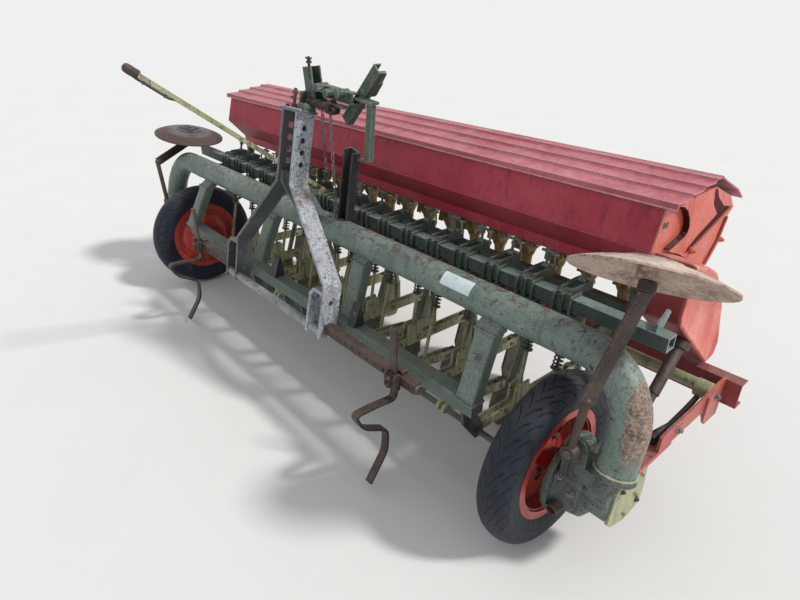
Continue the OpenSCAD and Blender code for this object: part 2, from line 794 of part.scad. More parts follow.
module marker_arm(top, n, bend_z) {
    pin = [marker_x, marker_y, marker_z];
    bend = [leg_x - 80, marker_y - 5, bend_z];
    root = top - 40 * n;
    color("#4b342c") on_axle() difference() {
        union() {
            translate(pin + [0, 14, 0]) rotate([90, 0, 0]) cylinder(r = 26, h = 28);
            rod(pin + [0, 0, 20], bend, 13);
            translate(bend) sphere(r = 15);
            bar(bend, root, 50, 9, 0);
            along(root, top) cylinder(r = 24, h = 28);
            along(root, top) cylinder(r = 10, h = 95);
            along(top + 45.5 * n, top + 60 * n) translate([-45, -45, 0]) cube([90, 90, 6]);
        }
        translate(pin + [0, 20, 0]) rotate([90, 0, 0]) cylinder(r = marker_pin_r + run_fit, h = 40);
    }
}

module marker_disc(top, n) {
    color("#7a5748") on_axle() along(top, top + n) rotate_extrude($fn = 96) difference() {
        union() {
            intersection() {
                translate([0, -480]) difference() {
                    circle(r = 525, $fn = 200);
                    circle(r = 520, $fn = 200);
                }
                translate([0, -10]) square([disc_r, 100]);
            }
            translate([0, -8]) square([36, 52]);
            translate([0, 40]) square([76, 5]);
        }
        translate([-1, -20]) square([11.05, 100]);
        translate([-600, -600]) square([600, 1200]);
    }
}

disc_top_right = [leg_x - 40, -20, 1112];
disc_n_right = [-0.158, 0.504, 0.849];
disc_top_left = [leg_x - 40, 102, 941];
disc_n_left = [-0.158, 0.1, 0.982];

module tyre_left() { color("#23272b") tyre(-1); }
module tyre_right() { color("#23272b") tyre(1); }
module rim_left() { color("#d5432e") rim(-1); }
module rim_right() { color("#d5432e") rim(1); }
module axle_casting_left() { axle_casting(-1); }
module axle_casting_right() { axle_casting(1); }
module tine_left() { tine(-1); }
module tine_right() { tine(1); }
module hopper_end_left() { hopper_end(-1); }
module hopper_end_right() { hopper_end(1); }
module side_bar_left() { side_bar(-1); }
module side_bar_right() { side_bar(1); }
module marker_arm_left() { side(-1) marker_arm(disc_top_left, disc_n_left, 810); }
module marker_arm_right() { marker_arm(disc_top_right, disc_n_right, 750); }
module marker_disc_left() { side(-1) marker_disc(disc_top_left, disc_n_left); }
module marker_disc_right() { marker_disc(disc_top_right, disc_n_right); }

tyre_left();
tyre_right();
rim_left();
rim_right();
main_tube();
struts();
lower_beam();
axle_casting_left();
axle_casting_right();
headstock_left();
headstock_right();
hitch_crossbar();
headstock_top();
top_screw();
changeover();
post();
chains();
tine_bar();
tine_left();
tine_right();
beam_brackets();
hopper_front();
hopper_rear();
hopper_end_left();
hopper_end_right();
hopper_beam();
hopper_brackets();
lid();
gear_cover();
metering_units();
feed_shaft();
pressure_bar();
row_clamps();
springs();
seed_tubes();
arms_front();
arms_rear();
shoes_front();
shoes_rear();
coulter_rail();
cross_tube();
drive_shaft();
side_bar_left();
side_bar_right();
rear_beam();
lever();
marker_arm_left();
marker_arm_right();
marker_disc_left();
marker_disc_right();
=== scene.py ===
import bpy
import bmesh
import json
import math
import random
from mathutils import Matrix, Vector

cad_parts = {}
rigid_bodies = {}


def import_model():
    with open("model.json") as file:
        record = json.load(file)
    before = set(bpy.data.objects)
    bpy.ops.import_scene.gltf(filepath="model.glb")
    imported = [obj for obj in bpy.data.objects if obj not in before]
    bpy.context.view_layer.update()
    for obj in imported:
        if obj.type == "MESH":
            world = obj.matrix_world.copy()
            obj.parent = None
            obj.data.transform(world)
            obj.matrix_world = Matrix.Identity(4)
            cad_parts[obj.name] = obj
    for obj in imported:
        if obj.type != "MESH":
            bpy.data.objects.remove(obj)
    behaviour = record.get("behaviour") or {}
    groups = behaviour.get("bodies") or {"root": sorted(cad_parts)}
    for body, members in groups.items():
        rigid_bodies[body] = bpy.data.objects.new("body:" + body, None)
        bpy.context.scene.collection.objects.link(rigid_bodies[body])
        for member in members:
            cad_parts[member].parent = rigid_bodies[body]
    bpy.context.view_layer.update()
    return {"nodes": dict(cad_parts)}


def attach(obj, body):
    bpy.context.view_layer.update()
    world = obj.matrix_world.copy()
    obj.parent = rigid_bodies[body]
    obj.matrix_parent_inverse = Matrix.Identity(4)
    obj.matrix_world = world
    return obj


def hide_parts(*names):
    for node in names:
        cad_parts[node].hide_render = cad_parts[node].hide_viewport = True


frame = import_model()
nodes = frame["nodes"]
print("frame loaded,", len(nodes), "cad nodes")

axleY = -0.12   # the wheel axle's place along Y
toRight, toBack, toTop = Vector((1, 0, 0)), Vector((0, 1, 0)), Vector((0, 0, 1))
toFront = -toBack
ends = ((-1, "Left"), (1, "Right"))   # sign along X and the word in a piece's name


def spot(x, y, z):
    # a point given from the wheel axle, in metres
    return Vector((x, y + axleY, z))


# camera
shot = {"place": (2.2235, -1.5033, 1.7534), "lens": 25.69, "sensor": 36.0,
        "right": (0.6554, 0.7553, 0.0), "up": (-0.3536, 0.3069, 0.8837),
        "forward": (-0.6674, 0.5793, -0.4682)}


def addObject(name, data):
    obj = bpy.data.objects.new(name, data)
    bpy.context.scene.collection.objects.link(obj)
    return obj


def makeCamera(look):
    data = bpy.data.cameras.new("camera")
    data.lens = look["lens"]
    data.sensor_width = look["sensor"]
    data.clip_start = 0.05
    data.clip_end = 60
    cam = addObject("camera", data)
    right, up, back = Vector(look["right"]), Vector(look["up"]), -Vector(look["forward"])
    turn = Matrix((right, up, back)).transposed().to_4x4()
    cam.matrix_world = Matrix.Translation(look["place"]) @ turn
    bpy.context.scene.camera = cam


makeCamera(shot)
bpy.context.scene.view_settings.view_transform = "Standard"


def fill(tree, node, values):
    # an input takes a socket, a list of sockets or a plain value
    for key, value in values.items():
        if isinstance(value, (list, bpy.types.NodeSocket)):
            for socket in value if isinstance(value, list) else [value]:
                tree.links.new(socket, node.inputs[key])
        else:
            node.inputs[key].default_value = value
    return node


def addNode(tree, kind, values, settings):
    node = tree.nodes.new(kind)
    for key, value in settings.items():
        setattr(node, key, value)
    return fill(tree, node, values)


class Shader:
    # adds nodes to one material and joins them
    def __init__(self, name):
        self.mat = bpy.data.materials.new(name)
        self.mat.use_nodes = True
        self.tree = self.mat.node_tree
        self.tree.nodes.clear()
        self.bsdf = self.add("BsdfPrincipled")
        self.add("OutputMaterial", {0: self.bsdf.outputs[0]})
        coord = self.add("TexCoord")
        self.here = coord.outputs["Object"]
        self.facing = self.split(coord.outputs["Normal"])

    def add(self, kind, values={}, **settings):
        return addNode(self.tree, "ShaderNode" + kind, values, settings)

    def surface(self, values):
        fill(self.tree, self.bsdf, values)
        return self.mat

    def split(self, vector):
        return self.add("SeparateXYZ", {0: vector}).outputs

    def noise(self, scale, detail, rough, warp=0.0, vector=None):
        return self.add("TexNoise", {"Vector": vector or self.here, "Scale": scale, "Detail": detail,
                                     "Roughness": rough, "Distortion": warp}).outputs["Fac"]

    def cells(self, scale, push, pushScale):
        # cells on coordinates that a noise pushes about, so that spots are not round
        cloud = self.add("TexNoise", {"Vector": self.here, "Scale": pushScale, "Detail": 3.0})
        pushed = self.add("VectorMath", {0: cloud.outputs["Color"], 1: (push, push, push), 2: self.here},
                          operation="MULTIPLY_ADD")
        return self.add("TexVoronoi", {"Vector": pushed.outputs[0], "Scale": scale}).outputs["Distance"]

    def ramp(self, value, low, high, a=0.0, b=1.0):
        # a smooth step of value from low to high
        return self.add("MapRange", {"Value": value, "From Min": low, "From Max": high, "To Min": a, "To Max": b},
                        interpolation_type="SMOOTHSTEP").outputs["Result"]

    def math(self, kind, *values):
        return self.add("Math", dict(enumerate(values)), operation=kind).outputs[0]

    def times(self, a, b):
        return self.math("MULTIPLY", a, b)

    def timesPlus(self, a, b, c):
        return self.math("MULTIPLY_ADD", a, b, c)

    def plus(self, a, b):
        return self.math("ADD", a, b)

    def gap(self, a, b):
        # how far a is from b
        return self.math("ABSOLUTE", self.math("SUBTRACT", a, b))

    def mix(self, share, a, b):
        a, b = ((*c, 1) if isinstance(c, tuple) else c for c in (a, b))
        return self.add("Mix", {0: share, 6: a, 7: b}, data_type="RGBA").outputs[2]

    def edges(self, width):
        # 1 on outer corners, from how far a rounded normal turns away
        soft = self.add("Bevel", {"Radius": width}, samples=4)
        flat = self.add("NewGeometry")
        dot = self.add("VectorMath", {0: soft.outputs[0], 1: flat.outputs["Normal"]}, operation="DOT_PRODUCT")
        return self.ramp(dot.outputs["Value"], 0.985, 0.86)

    def bump(self, height, strength, distance):
        relief = self.add("Bump", {"Strength": strength, "Distance": distance, "Height": height})
        self.surface({"Normal": relief.outputs[0]})


# how a paint wears where its own row says nothing else; front is (share, tone, noise scale, start) of a tone on the
# forward face, painted shade where that tone is dark
paintWear = {"cloudScale": 5, "fine": 0.5, "grime": 0.45, "scuffScale": 17, "scuffFrom": 0.4, "scuffWide": 0.22,
             "dust": 0.55, "dustColour": (0.17, 0.145, 0.12), "chipScale": 85, "flakeScale": 34,
             "edge": 0.0035, "edgeWearAndHighlight": 0.7, "rustDark": (0.028, 0.02, 0.017), "rust": (0.105, 0.06, 0.042),
             "rough": 0.4, "bump": 0.4, "specular": 0.5}
hoopRust = {"dark": (0.1, 0.06, 0.045), "light": (0.38, 0.26, 0.2), "fromZ": (0.53, 0.6), "toZ": (0.87, 0.82)}
kneeRust = (0.16, 0.09, 0.06)


def weatheredPaint(name, paint, faded, dirt, chipFrom, change):
    look = {**paintWear, "edgeTone": faded, **change}
    s = Shader(name)
    colour = s.mix(s.ramp(s.noise(look["cloudScale"], 5, 0.62), 0.34, 0.68), paint, faded)
    fine = s.noise(150, 5, 0.7)
    colour = s.mix(s.times(s.ramp(fine, 0.42, 0.68), look["fine"]), colour, dirt)
    # rain streaks and grime that run down
    tall = s.add("Mapping", {0: s.here, "Scale": (46, 46, 3.2)}).outputs[0]
    streak = s.ramp(s.noise(1, 5, 0.65, vector=tall), 0.5, 0.7)
    colour = s.mix(s.times(streak, look["grime"]), colour, dirt)
    # scuffed and dusty where the face looks up
    scuff = s.ramp(s.noise(look["scuffScale"], 8, 0.8), look["scuffFrom"], look["scuffFrom"] + look["scuffWide"])
    lie = s.times(s.ramp(s.facing[2], 0.35, 0.95), scuff)
    colour = s.mix(s.times(lie, look["dust"]), colour, look["dustColour"])
    if "front" in look:
        # a tone in patches on the side that faces forward: painted shade where the tone is dark (barGreen, coverRed);
        # strutGreen's paler tone lightens that side
        share, tone, scale, low = look["front"]
        ahead = s.ramp(s.facing[1], -0.5, -0.66)
        patches = s.times(ahead, s.ramp(s.noise(scale, 8, 0.85), low, low + 0.07))
        colour = s.mix(s.times(patches, share), colour, tone)
    if "knee" in look:
        # rust that spreads round the leg's knee
        height, reach = look["knee"]
        near = s.ramp(s.gap(s.split(s.here)[2], height), reach, reach * 0.3)
        colour = s.mix(s.times(s.times(near, s.ramp(s.noise(34, 7, 0.8), 0.44, 0.58)), 0.8), colour, kneeRust)
    if "outerRust" in look:
        # the right hoop's outer half, where the paint is gone
        x, y, z = s.split(s.here)
        start = s.timesPlus(s.noise(26, 6, 0.75), 0.06, s.timesPlus(z, -0.16, look["outerRust"] + 0.066))
        tall = s.times(s.ramp(z, *hoopRust["fromZ"]), s.ramp(z, *hoopRust["toZ"]))
        gone = s.times(s.ramp(s.math("SUBTRACT", x, start), -0.003, 0.004), tall)
        patches = s.mix(s.ramp(s.noise(90, 6, 0.8), 0.4, 0.6), hoopRust["dark"], hoopRust["light"])
        colour = s.mix(s.times(gone, 0.85), colour, patches)
    # paler edges, worn paint together with a painted highlight along them; then small chips in groups and irregular
    # flakes
    edge = s.times(s.edges(look["edge"]), s.ramp(s.noise(55, 5, 0.75), 0.36, 0.54))
    colour = s.mix(s.times(edge, look["edgeWearAndHighlight"]), colour, look["edgeTone"])
    spots = s.ramp(s.cells(look["chipScale"], 0.045, 60), 0.24, 0.16)
    group = s.ramp(s.noise(9, 6, 0.7), chipFrom, chipFrom + 0.12)
    flake = s.ramp(s.noise(look["flakeScale"], 9, 0.8, 0.6), chipFrom + 0.1, chipFrom + 0.135)
    chip = s.math("MAXIMUM", s.times(spots, group), flake)
    rust = s.mix(s.ramp(s.noise(120, 4, 0.7), 0.4, 0.62), look["rustDark"], look["rust"])
    s.bump(s.timesPlus(chip, -0.8, s.timesPlus(fine, 0.25, s.times(s.noise(30, 3, 0.5), 0.5))), look["bump"], 0.0013)
    return s.surface({"Base Color": s.mix(s.times(chip, 0.9), colour, rust),
                      "Roughness": s.timesPlus(chip, 0.3, s.timesPlus(fine, 0.22, look["rough"])),
                      "Specular IOR Level": look["specular"]})


# how bare iron looks where its own row says nothing else; rim is (centre, start, tone)
rustWear = {"fineScale": 140, "pitScale": 110, "dust": 0.2, "dustColour": (0.3, 0.25, 0.2),
            "edgeTone": (0.3, 0.25, 0.22), "rough": 0.42, "metal": 0.3}


def rustedSteel(name, dark, light, bloom, change):
    look = {**rustWear, **change}
    s = Shader(name)
    cloud = s.noise(9, 6, 0.68)
    colour = s.mix(s.ramp(cloud, 0.34, 0.64), dark, light)
    fine = s.noise(look["fineScale"], 6, 0.78)
    colour = s.mix(s.times(s.ramp(fine, 0.46, 0.64), 0.6), colour, bloom)
    pits = s.ramp(s.cells(look["pitScale"], 0.01, 26), 0.3, 0.12)
    colour = s.mix(s.times(pits, 0.55), colour, dark)
    lie = s.times(s.ramp(s.facing[2], 0.4, 1.0), s.ramp(s.noise(20, 5, 0.7), 0.35, 0.7))
    colour = s.mix(s.times(lie, look["dust"]), colour, look["dustColour"])
    edge = s.times(s.edges(0.003), s.ramp(s.noise(70, 4, 0.7), 0.36, 0.58))
    colour = s.mix(s.times(edge, 0.6), colour, look["edgeTone"])
    if "rim" in look:
        # a darker, rustier band outside a flat middle
        centre, start, tone = look["rim"]
        far = s.add("VectorMath", {0: s.here, 1: centre}, operation="DISTANCE").outputs["Value"]
        band = s.times(s.ramp(far, start, start + 0.012), s.ramp(fine, 0.3, 0.6, 0.6, 0.95))
        colour = s.mix(band, colour, tone)
    s.bump(s.plus(fine, s.timesPlus(pits, -0.7, s.times(cloud, 0.6))), 0.5, 0.0016)
    return s.surface({"Base Color": colour, "Roughness": s.timesPlus(fine, 0.3, look["rough"]),
                      "Metallic": look["metal"]})


tread = {"columns": 0.0333, "from": 0.0665, "pitch": 0.061, "slope": 2.1, "bow": 0.16, "shift": 0.37,
         "dark": (0.006, 0.011, 0.021), "light": (0.018, 0.025, 0.038), "dust": (0.075, 0.066, 0.055),
         "worn": (0.1, 0.1, 0.1), "cut": (0.003, 0.004, 0.005)}


def rubber(name, look):
    # worn tread with curved sipes, drawn on the tyre's own map: u runs round it, v across
    s = Shader(name)
    grown = s.add("UVMap", uv_map="treadMap")
    u, v = s.split(grown.outputs[0])[:2]
    place = s.math("DIVIDE", s.plus(v, look["from"]), look["columns"])
    column, t = s.math("FLOOR", place), s.math("FRACT", place)
    bow = s.times(s.math("SINE", s.times(t, 3.1416)), look["bow"])
    lean = s.times(s.math("ABSOLUTE", s.times(v, 15.0)), look["slope"])
    turn = s.plus(s.math("DIVIDE", u, look["pitch"]), s.plus(s.times(column, look["shift"]), s.plus(lean, bow)))
    line = s.ramp(s.gap(s.math("FRACT", turn), 0.5), 0.095, 0.06)
    inColumn = s.times(s.ramp(t, 0.06, 0.14), s.ramp(t, 0.97, 0.88))
    away = s.math("ABSOLUTE", v)
    sipe = s.times(line, s.times(inColumn, s.ramp(away, 0.0605, 0.058)))
    rings = s.ramp(s.gap(away, 0.0632), 0.0007, 0.0003)
    side = s.noise(7, 5, 0.6)
    colour = s.mix(s.ramp(side, 0.36, 0.68), look["dark"], look["light"])
    colour = s.mix(s.times(s.ramp(s.noise(26, 7, 0.75), 0.5, 0.72), 0.22), colour, look["dust"])
    colour = s.mix(s.times(s.ramp(s.facing[2], 0.6, 1.0), 0.3), colour, look["worn"])
    # the sipes go near black: painted shade inside the grooves
    colour = s.mix(s.times(sipe, 0.95), colour, look["cut"])
    s.bump(s.plus(s.times(s.noise(240, 3, 0.6), 0.12), s.timesPlus(sipe, -1.0, s.times(rings, 0.5))), 1.0, 0.007)
    return s.surface({"Base Color": colour, "Roughness": s.timesPlus(side, 0.3, 0.42), "Specular IOR Level": 0.32})


# a group for each slot of the record, with linear colours
# finish: paint, faded, dirt, where chips start, what differs from paintWear
paints = {
    "frame_green": {
        "frameGreen": ((0.11, 0.155, 0.128), (0.17, 0.22, 0.185), (0.048, 0.052, 0.042), 0.53,
                       dict(edgeTone=(0.3, 0.32, 0.27))),
        "strutGreen": ((0.105, 0.15, 0.125), (0.17, 0.215, 0.18), (0.045, 0.048, 0.04), 0.5,
                       dict(edgeTone=(0.4, 0.41, 0.36), edge=0.006, front=(0.5, (0.3, 0.33, 0.28), 110, 0.49))),
        # barGreen's dark front tone is painted shade on the pressure bar's forward face
        "barGreen": ((0.16, 0.23, 0.215), (0.24, 0.32, 0.3), (0.035, 0.04, 0.036), 0.5,
                     dict(edgeTone=(0.3, 0.34, 0.3), dust=0.3, grime=0.7,
                          front=(0.75, (0.035, 0.045, 0.042), 20, 0.3))),
        "clampGreen": ((0.05, 0.075, 0.063), (0.105, 0.14, 0.118), (0.018, 0.02, 0.017), 0.46,
                       dict(edgeTone=(0.3, 0.33, 0.26), grime=0.6))},
    "tube_green": {
        "tubeGreen": ((0.135, 0.19, 0.165), (0.21, 0.275, 0.24), (0.052, 0.052, 0.044), 0.47,
                      dict(outerRust=1.695, dust=0.9, dustColour=(0.085, 0.055, 0.045), scuffScale=30,
                           scuffFrom=0.48, scuffWide=0.1, chipScale=70, edgeWearAndHighlight=0.2))},
    "dark_green": {
        "castGreen": ((0.055, 0.082, 0.075), (0.11, 0.145, 0.125), (0.024, 0.022, 0.02), 0.43,
                      dict(rough=0.35, fine=0.75, edgeTone=(0.34, 0.35, 0.25), dust=0.5,
                           dustColour=(0.27, 0.28, 0.17))),
        "linkGreen": ((0.045, 0.083, 0.062), (0.085, 0.135, 0.105), (0.02, 0.024, 0.02), 0.5,
                      dict(edgeTone=(0.42, 0.44, 0.3), edge=0.004, edgeWearAndHighlight=0.9)),
        "darkGreen": ((0.045, 0.07, 0.058), (0.09, 0.125, 0.105), (0.022, 0.022, 0.02), 0.5,
                      dict(edgeTone=(0.2, 0.22, 0.17))),
        "seedTube": ((0.1, 0.14, 0.095), (0.2, 0.24, 0.155), (0.045, 0.045, 0.032), 0.5,
                     dict(edgeTone=(0.3, 0.32, 0.22))),
        "shoePaint": ((0.06, 0.08, 0.05), (0.12, 0.14, 0.085), (0.05, 0.035, 0.022), 0.42,
                      dict(rust=(0.17, 0.08, 0.04), rustDark=(0.06, 0.03, 0.02), edgeTone=(0.24, 0.2, 0.12),
                           grime=0.8))},
    "lime_green": {
        "limeGreen": ((0.27, 0.29, 0.14), (0.4, 0.41, 0.25), (0.1, 0.085, 0.045), 0.5,
                      dict(rust=(0.16, 0.09, 0.05), edgeTone=(0.55, 0.52, 0.36), grime=0.7)),
        "limeWorn": ((0.37, 0.385, 0.2), (0.6, 0.58, 0.39), (0.09, 0.07, 0.038), 0.46,
                     dict(cloudScale=3.2, rust=(0.17, 0.095, 0.05), edgeTone=(0.6, 0.57, 0.4), grime=0.8, fine=0.7)),
        "weldPale": ((0.3, 0.32, 0.22), (0.5, 0.5, 0.38), (0.12, 0.1, 0.07), 0.5, dict(edgeWearAndHighlight=0.0))},
    "dark_steel": {
        "darkSteel": ((0.06, 0.066, 0.076), (0.12, 0.13, 0.145), (0.038, 0.034, 0.032), 0.47,
                      dict(rust=(0.13, 0.08, 0.055), edgeTone=(0.48, 0.47, 0.45), edge=0.005, specular=0.6,
                           rough=0.34))},
    "worn_silver": {
        "wornSilver": ((0.36, 0.4, 0.46), (0.52, 0.56, 0.62), (0.12, 0.11, 0.11), 0.44,
                       dict(knee=(0.985, 0.055), chipScale=75, flakeScale=70, rust=(0.13, 0.085, 0.06),
                            rustDark=(0.03, 0.028, 0.03), edgeTone=(0.66, 0.64, 0.58), grime=0.6, rough=0.34)),
        "crossSilver": ((0.27, 0.29, 0.31), (0.4, 0.42, 0.44), (0.11, 0.09, 0.08), 0.46,
                        dict(flakeScale=40, chipScale=60, rust=(0.15, 0.09, 0.06), rough=0.36, grime=0.7)),
        "labelWhite": ((0.62, 0.76, 0.78), (0.74, 0.84, 0.86), (0.36, 0.4, 0.4), 0.68,
                       dict(rough=0.3, edgeWearAndHighlight=0.0, grime=0.25, dust=0.2, fine=0.2, bump=0.1))},
    "black_paint": {
        "blackPaint": ((0.014, 0.016, 0.02), (0.035, 0.037, 0.042), (0.04, 0.036, 0.032), 0.56,
                       dict(rough=0.3, edgeTone=(0.14, 0.13, 0.12)))},
    "hopper_red": {
        "hopperRed": ((0.36, 0.03, 0.055), (0.45, 0.06, 0.09), (0.12, 0.014, 0.024), 0.58,
                      dict(rough=0.42, specular=0.28, grime=0.5, dust=0.25, fine=0.25, edge=0.006,
                           edgeTone=(0.5, 0.16, 0.17), bump=0.25, cloudScale=2.2)),
        # hopperLit: the hopper's red made brighter, a painted highlight for the folded lip
        "hopperLit": ((0.5, 0.035, 0.07), (0.58, 0.08, 0.11), (0.17, 0.02, 0.03), 0.56,
                      dict(rough=0.32, grime=0.5, fine=0.3, edgeTone=(0.6, 0.2, 0.2))),
        "lidRed": ((0.36, 0.06, 0.085), (0.5, 0.14, 0.17), (0.17, 0.03, 0.045), 0.6,
                   dict(rough=0.34, grime=0.25, specular=0.35, dust=0.3, dustColour=(0.6, 0.36, 0.36), fine=0.25,
                        edgeTone=(0.8, 0.55, 0.54), bump=0.22, cloudScale=2)),
        # lidEdge is the lid's red made paler: a painted highlight for the lid's beads
        "lidEdge": ((0.48, 0.2, 0.22), (0.66, 0.38, 0.39), (0.3, 0.08, 0.1), 0.55, dict(rough=0.28, fine=0.4))},
    "end_red": {
        "endRed": ((0.6, 0.11, 0.07), (0.66, 0.18, 0.13), (0.19, 0.022, 0.02), 0.55,
                   dict(rough=0.32, grime=0.5, edgeTone=(0.72, 0.36, 0.28), fine=0.35)),
        # coverRed's dark front tone is painted shade on the gear cover's forward face
        "coverRed": ((0.58, 0.09, 0.07), (0.76, 0.26, 0.19), (0.2, 0.02, 0.02), 0.56,
                     dict(front=(0.9, (0.15, 0.01, 0.015), 8, 0.3), rough=0.3, edge=0.009, edgeTone=(0.8, 0.5, 0.38),
                          edgeWearAndHighlight=0.8, grime=0.5, fine=0.3, cloudScale=7)),
        # near-black red for the painted shade and shadow on the hopper ends
        "hollowRed": ((0.045, 0.005, 0.008), (0.08, 0.01, 0.014), (0.02, 0.004, 0.005), 0.6,
                      dict(rough=0.6, edgeWearAndHighlight=0.0, specular=0.2))},
    "beam_red": {
        "barRed": ((0.42, 0.05, 0.045), (0.54, 0.15, 0.12), (0.14, 0.03, 0.025), 0.5,
                   dict(rough=0.36, edgeTone=(0.66, 0.36, 0.28), grime=0.6)),
        # beamRed is barRed's red made darker: painted shade on the rear beam
        "beamRed": ((0.22, 0.022, 0.028), (0.36, 0.07, 0.07), (0.075, 0.014, 0.016), 0.52,
                    dict(rough=0.34, edgeTone=(0.55, 0.25, 0.22)))},
    "rim_red": {
        "rimRed": ((0.42, 0.018, 0.014), (0.55, 0.07, 0.05), (0.1, 0.018, 0.014), 0.52,
                   dict(rough=0.2, grime=0.6, edgeTone=(0.72, 0.36, 0.3), edge=0.004))},
    "spring_steel": {
        "springSteel": ((0.04, 0.05, 0.042), (0.09, 0.1, 0.08), (0.03, 0.024, 0.02), 0.45,
                        dict(rough=0.35, rust=(0.12, 0.065, 0.04), edgeWearAndHighlight=0.0))},
    "meter_brown": {
        "meterBrown": ((0.26, 0.15, 0.035), (0.4, 0.27, 0.09), (0.055, 0.032, 0.018), 0.5,
                       dict(rough=0.4, grime=0.8, edgeTone=(0.7, 0.5, 0.2), fine=0.6))}}
# finish: dark, light, bloom, what differs from rustWear
rusts = {
    "rusty_steel": {"rustySteel": ((0.04, 0.026, 0.02), (0.12, 0.066, 0.045), (0.2, 0.105, 0.06), {})},
    "dark_steel": {
        "oldIron": ((0.022, 0.018, 0.017), (0.075, 0.05, 0.042), (0.13, 0.08, 0.058),
                    dict(edgeTone=(0.34, 0.27, 0.23))),
        "tineSteel": ((0.028, 0.026, 0.03), (0.085, 0.062, 0.056), (0.16, 0.09, 0.06),
                      dict(rough=0.34, metal=0.45, edgeTone=(0.36, 0.28, 0.24)))},
    "rusty_disc": {
        "rustyDisc": ((0.2, 0.125, 0.095), (0.55, 0.41, 0.34), (0.68, 0.55, 0.48),
                      dict(dust=0.6, metal=0.0, rough=0.6, dustColour=(0.75, 0.62, 0.55), fineScale=70, pitScale=60)),
        "discSteel": ((0.05, 0.047, 0.055), (0.14, 0.135, 0.15), (0.2, 0.115, 0.08),
                      dict(dust=0.35, metal=0.4, rim=((-1.64, -0.018, 0.935), 0.135, (0.085, 0.045, 0.032)),
                           dustColour=(0.2, 0.19, 0.2), fineScale=60, pitScale=60))},
    "bright_steel": {
        "brightSteel": ((0.09, 0.08, 0.075), (0.26, 0.24, 0.23), (0.2, 0.13, 0.09), dict(metal=0.7, rough=0.3))}}
mats, slotOf = {"tyreRubber": rubber("tyreRubber", tread)}, {"tyreRubber": "tyre"}
for table, make in ((paints, weatheredPaint), (rusts, rustedSteel)):
    for slot, group in table.items():
        for finish, row in group.items():
            mats[finish], slotOf[finish] = make(finish, *row), slot
print("materials made,", len(mats))

# the cad nodes that show, by finish
dressed = {
    "rimRed": "rim_left rim_right", "tubeGreen": "main_tube", "frameGreen": "lower_beam",
    "darkSteel": "headstock_left headstock_top", "wornSilver": "headstock_right", "crossSilver": "hitch_crossbar",
    "rustySteel": "top_screw", "blackPaint": "post beam_brackets", "tineSteel": "tine_left tine_right",
    "hopperRed": "hopper_front hopper_rear", "endRed": "hopper_end_left hopper_end_right", "lidRed": "lid",
    "darkGreen": "hopper_beam coulter_rail", "brightSteel": "feed_shaft", "barGreen": "pressure_bar",
    "clampGreen": "row_clamps", "seedTube": "seed_tubes", "limeWorn": "arms_front arms_rear",
    "shoePaint": "shoes_front shoes_rear", "limeGreen": "cross_tube", "barRed": "side_bar_left side_bar_right",
    "beamRed": "rear_beam", "oldIron": "drive_shaft marker_arm_left marker_arm_right",
    "discSteel": "marker_disc_left", "rustyDisc": "marker_disc_right"}
for finish, names in dressed.items():
    for name in names.split():
        for slot in nodes[name].material_slots:
            slot.material = mats[finish]
print("cad nodes dressed")


# mesh tools
def circle(centre, x, y, r, sides):
    turns = (2 * math.pi * k / sides for k in range(sides))
    return [centre + (x * math.cos(t) + y * math.sin(t)) * r for t in turns]


def spoke(degrees):
    return Vector((0, math.cos(math.radians(degrees)), math.sin(math.radians(degrees))))


def settle(obj, finish, body, replaces, smooth):
    # the last steps that every finished piece shares
    mesh = obj.data
    mesh.materials.clear()
    mesh.materials.append(mats[finish])
    mesh.shade_smooth()
    if smooth < 180:
        mesh.set_sharp_from_angle(angle=math.radians(smooth))
    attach(obj, body)
    if replaces:
        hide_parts(*replaces)
    return obj


def evaluated(obj):
    graph = bpy.context.evaluated_depsgraph_get()
    return bpy.data.meshes.new_from_object(obj.evaluated_get(graph), depsgraph=graph)


def plainMesh(obj, name, finish, body, replaces=(), smooth=35):
    # turns an object with a live node tree into a plain mesh piece
    mesh = evaluated(obj)
    mesh.name = name
    bpy.data.objects.remove(obj)
    return settle(addObject(name, mesh), finish, body, replaces, smooth)


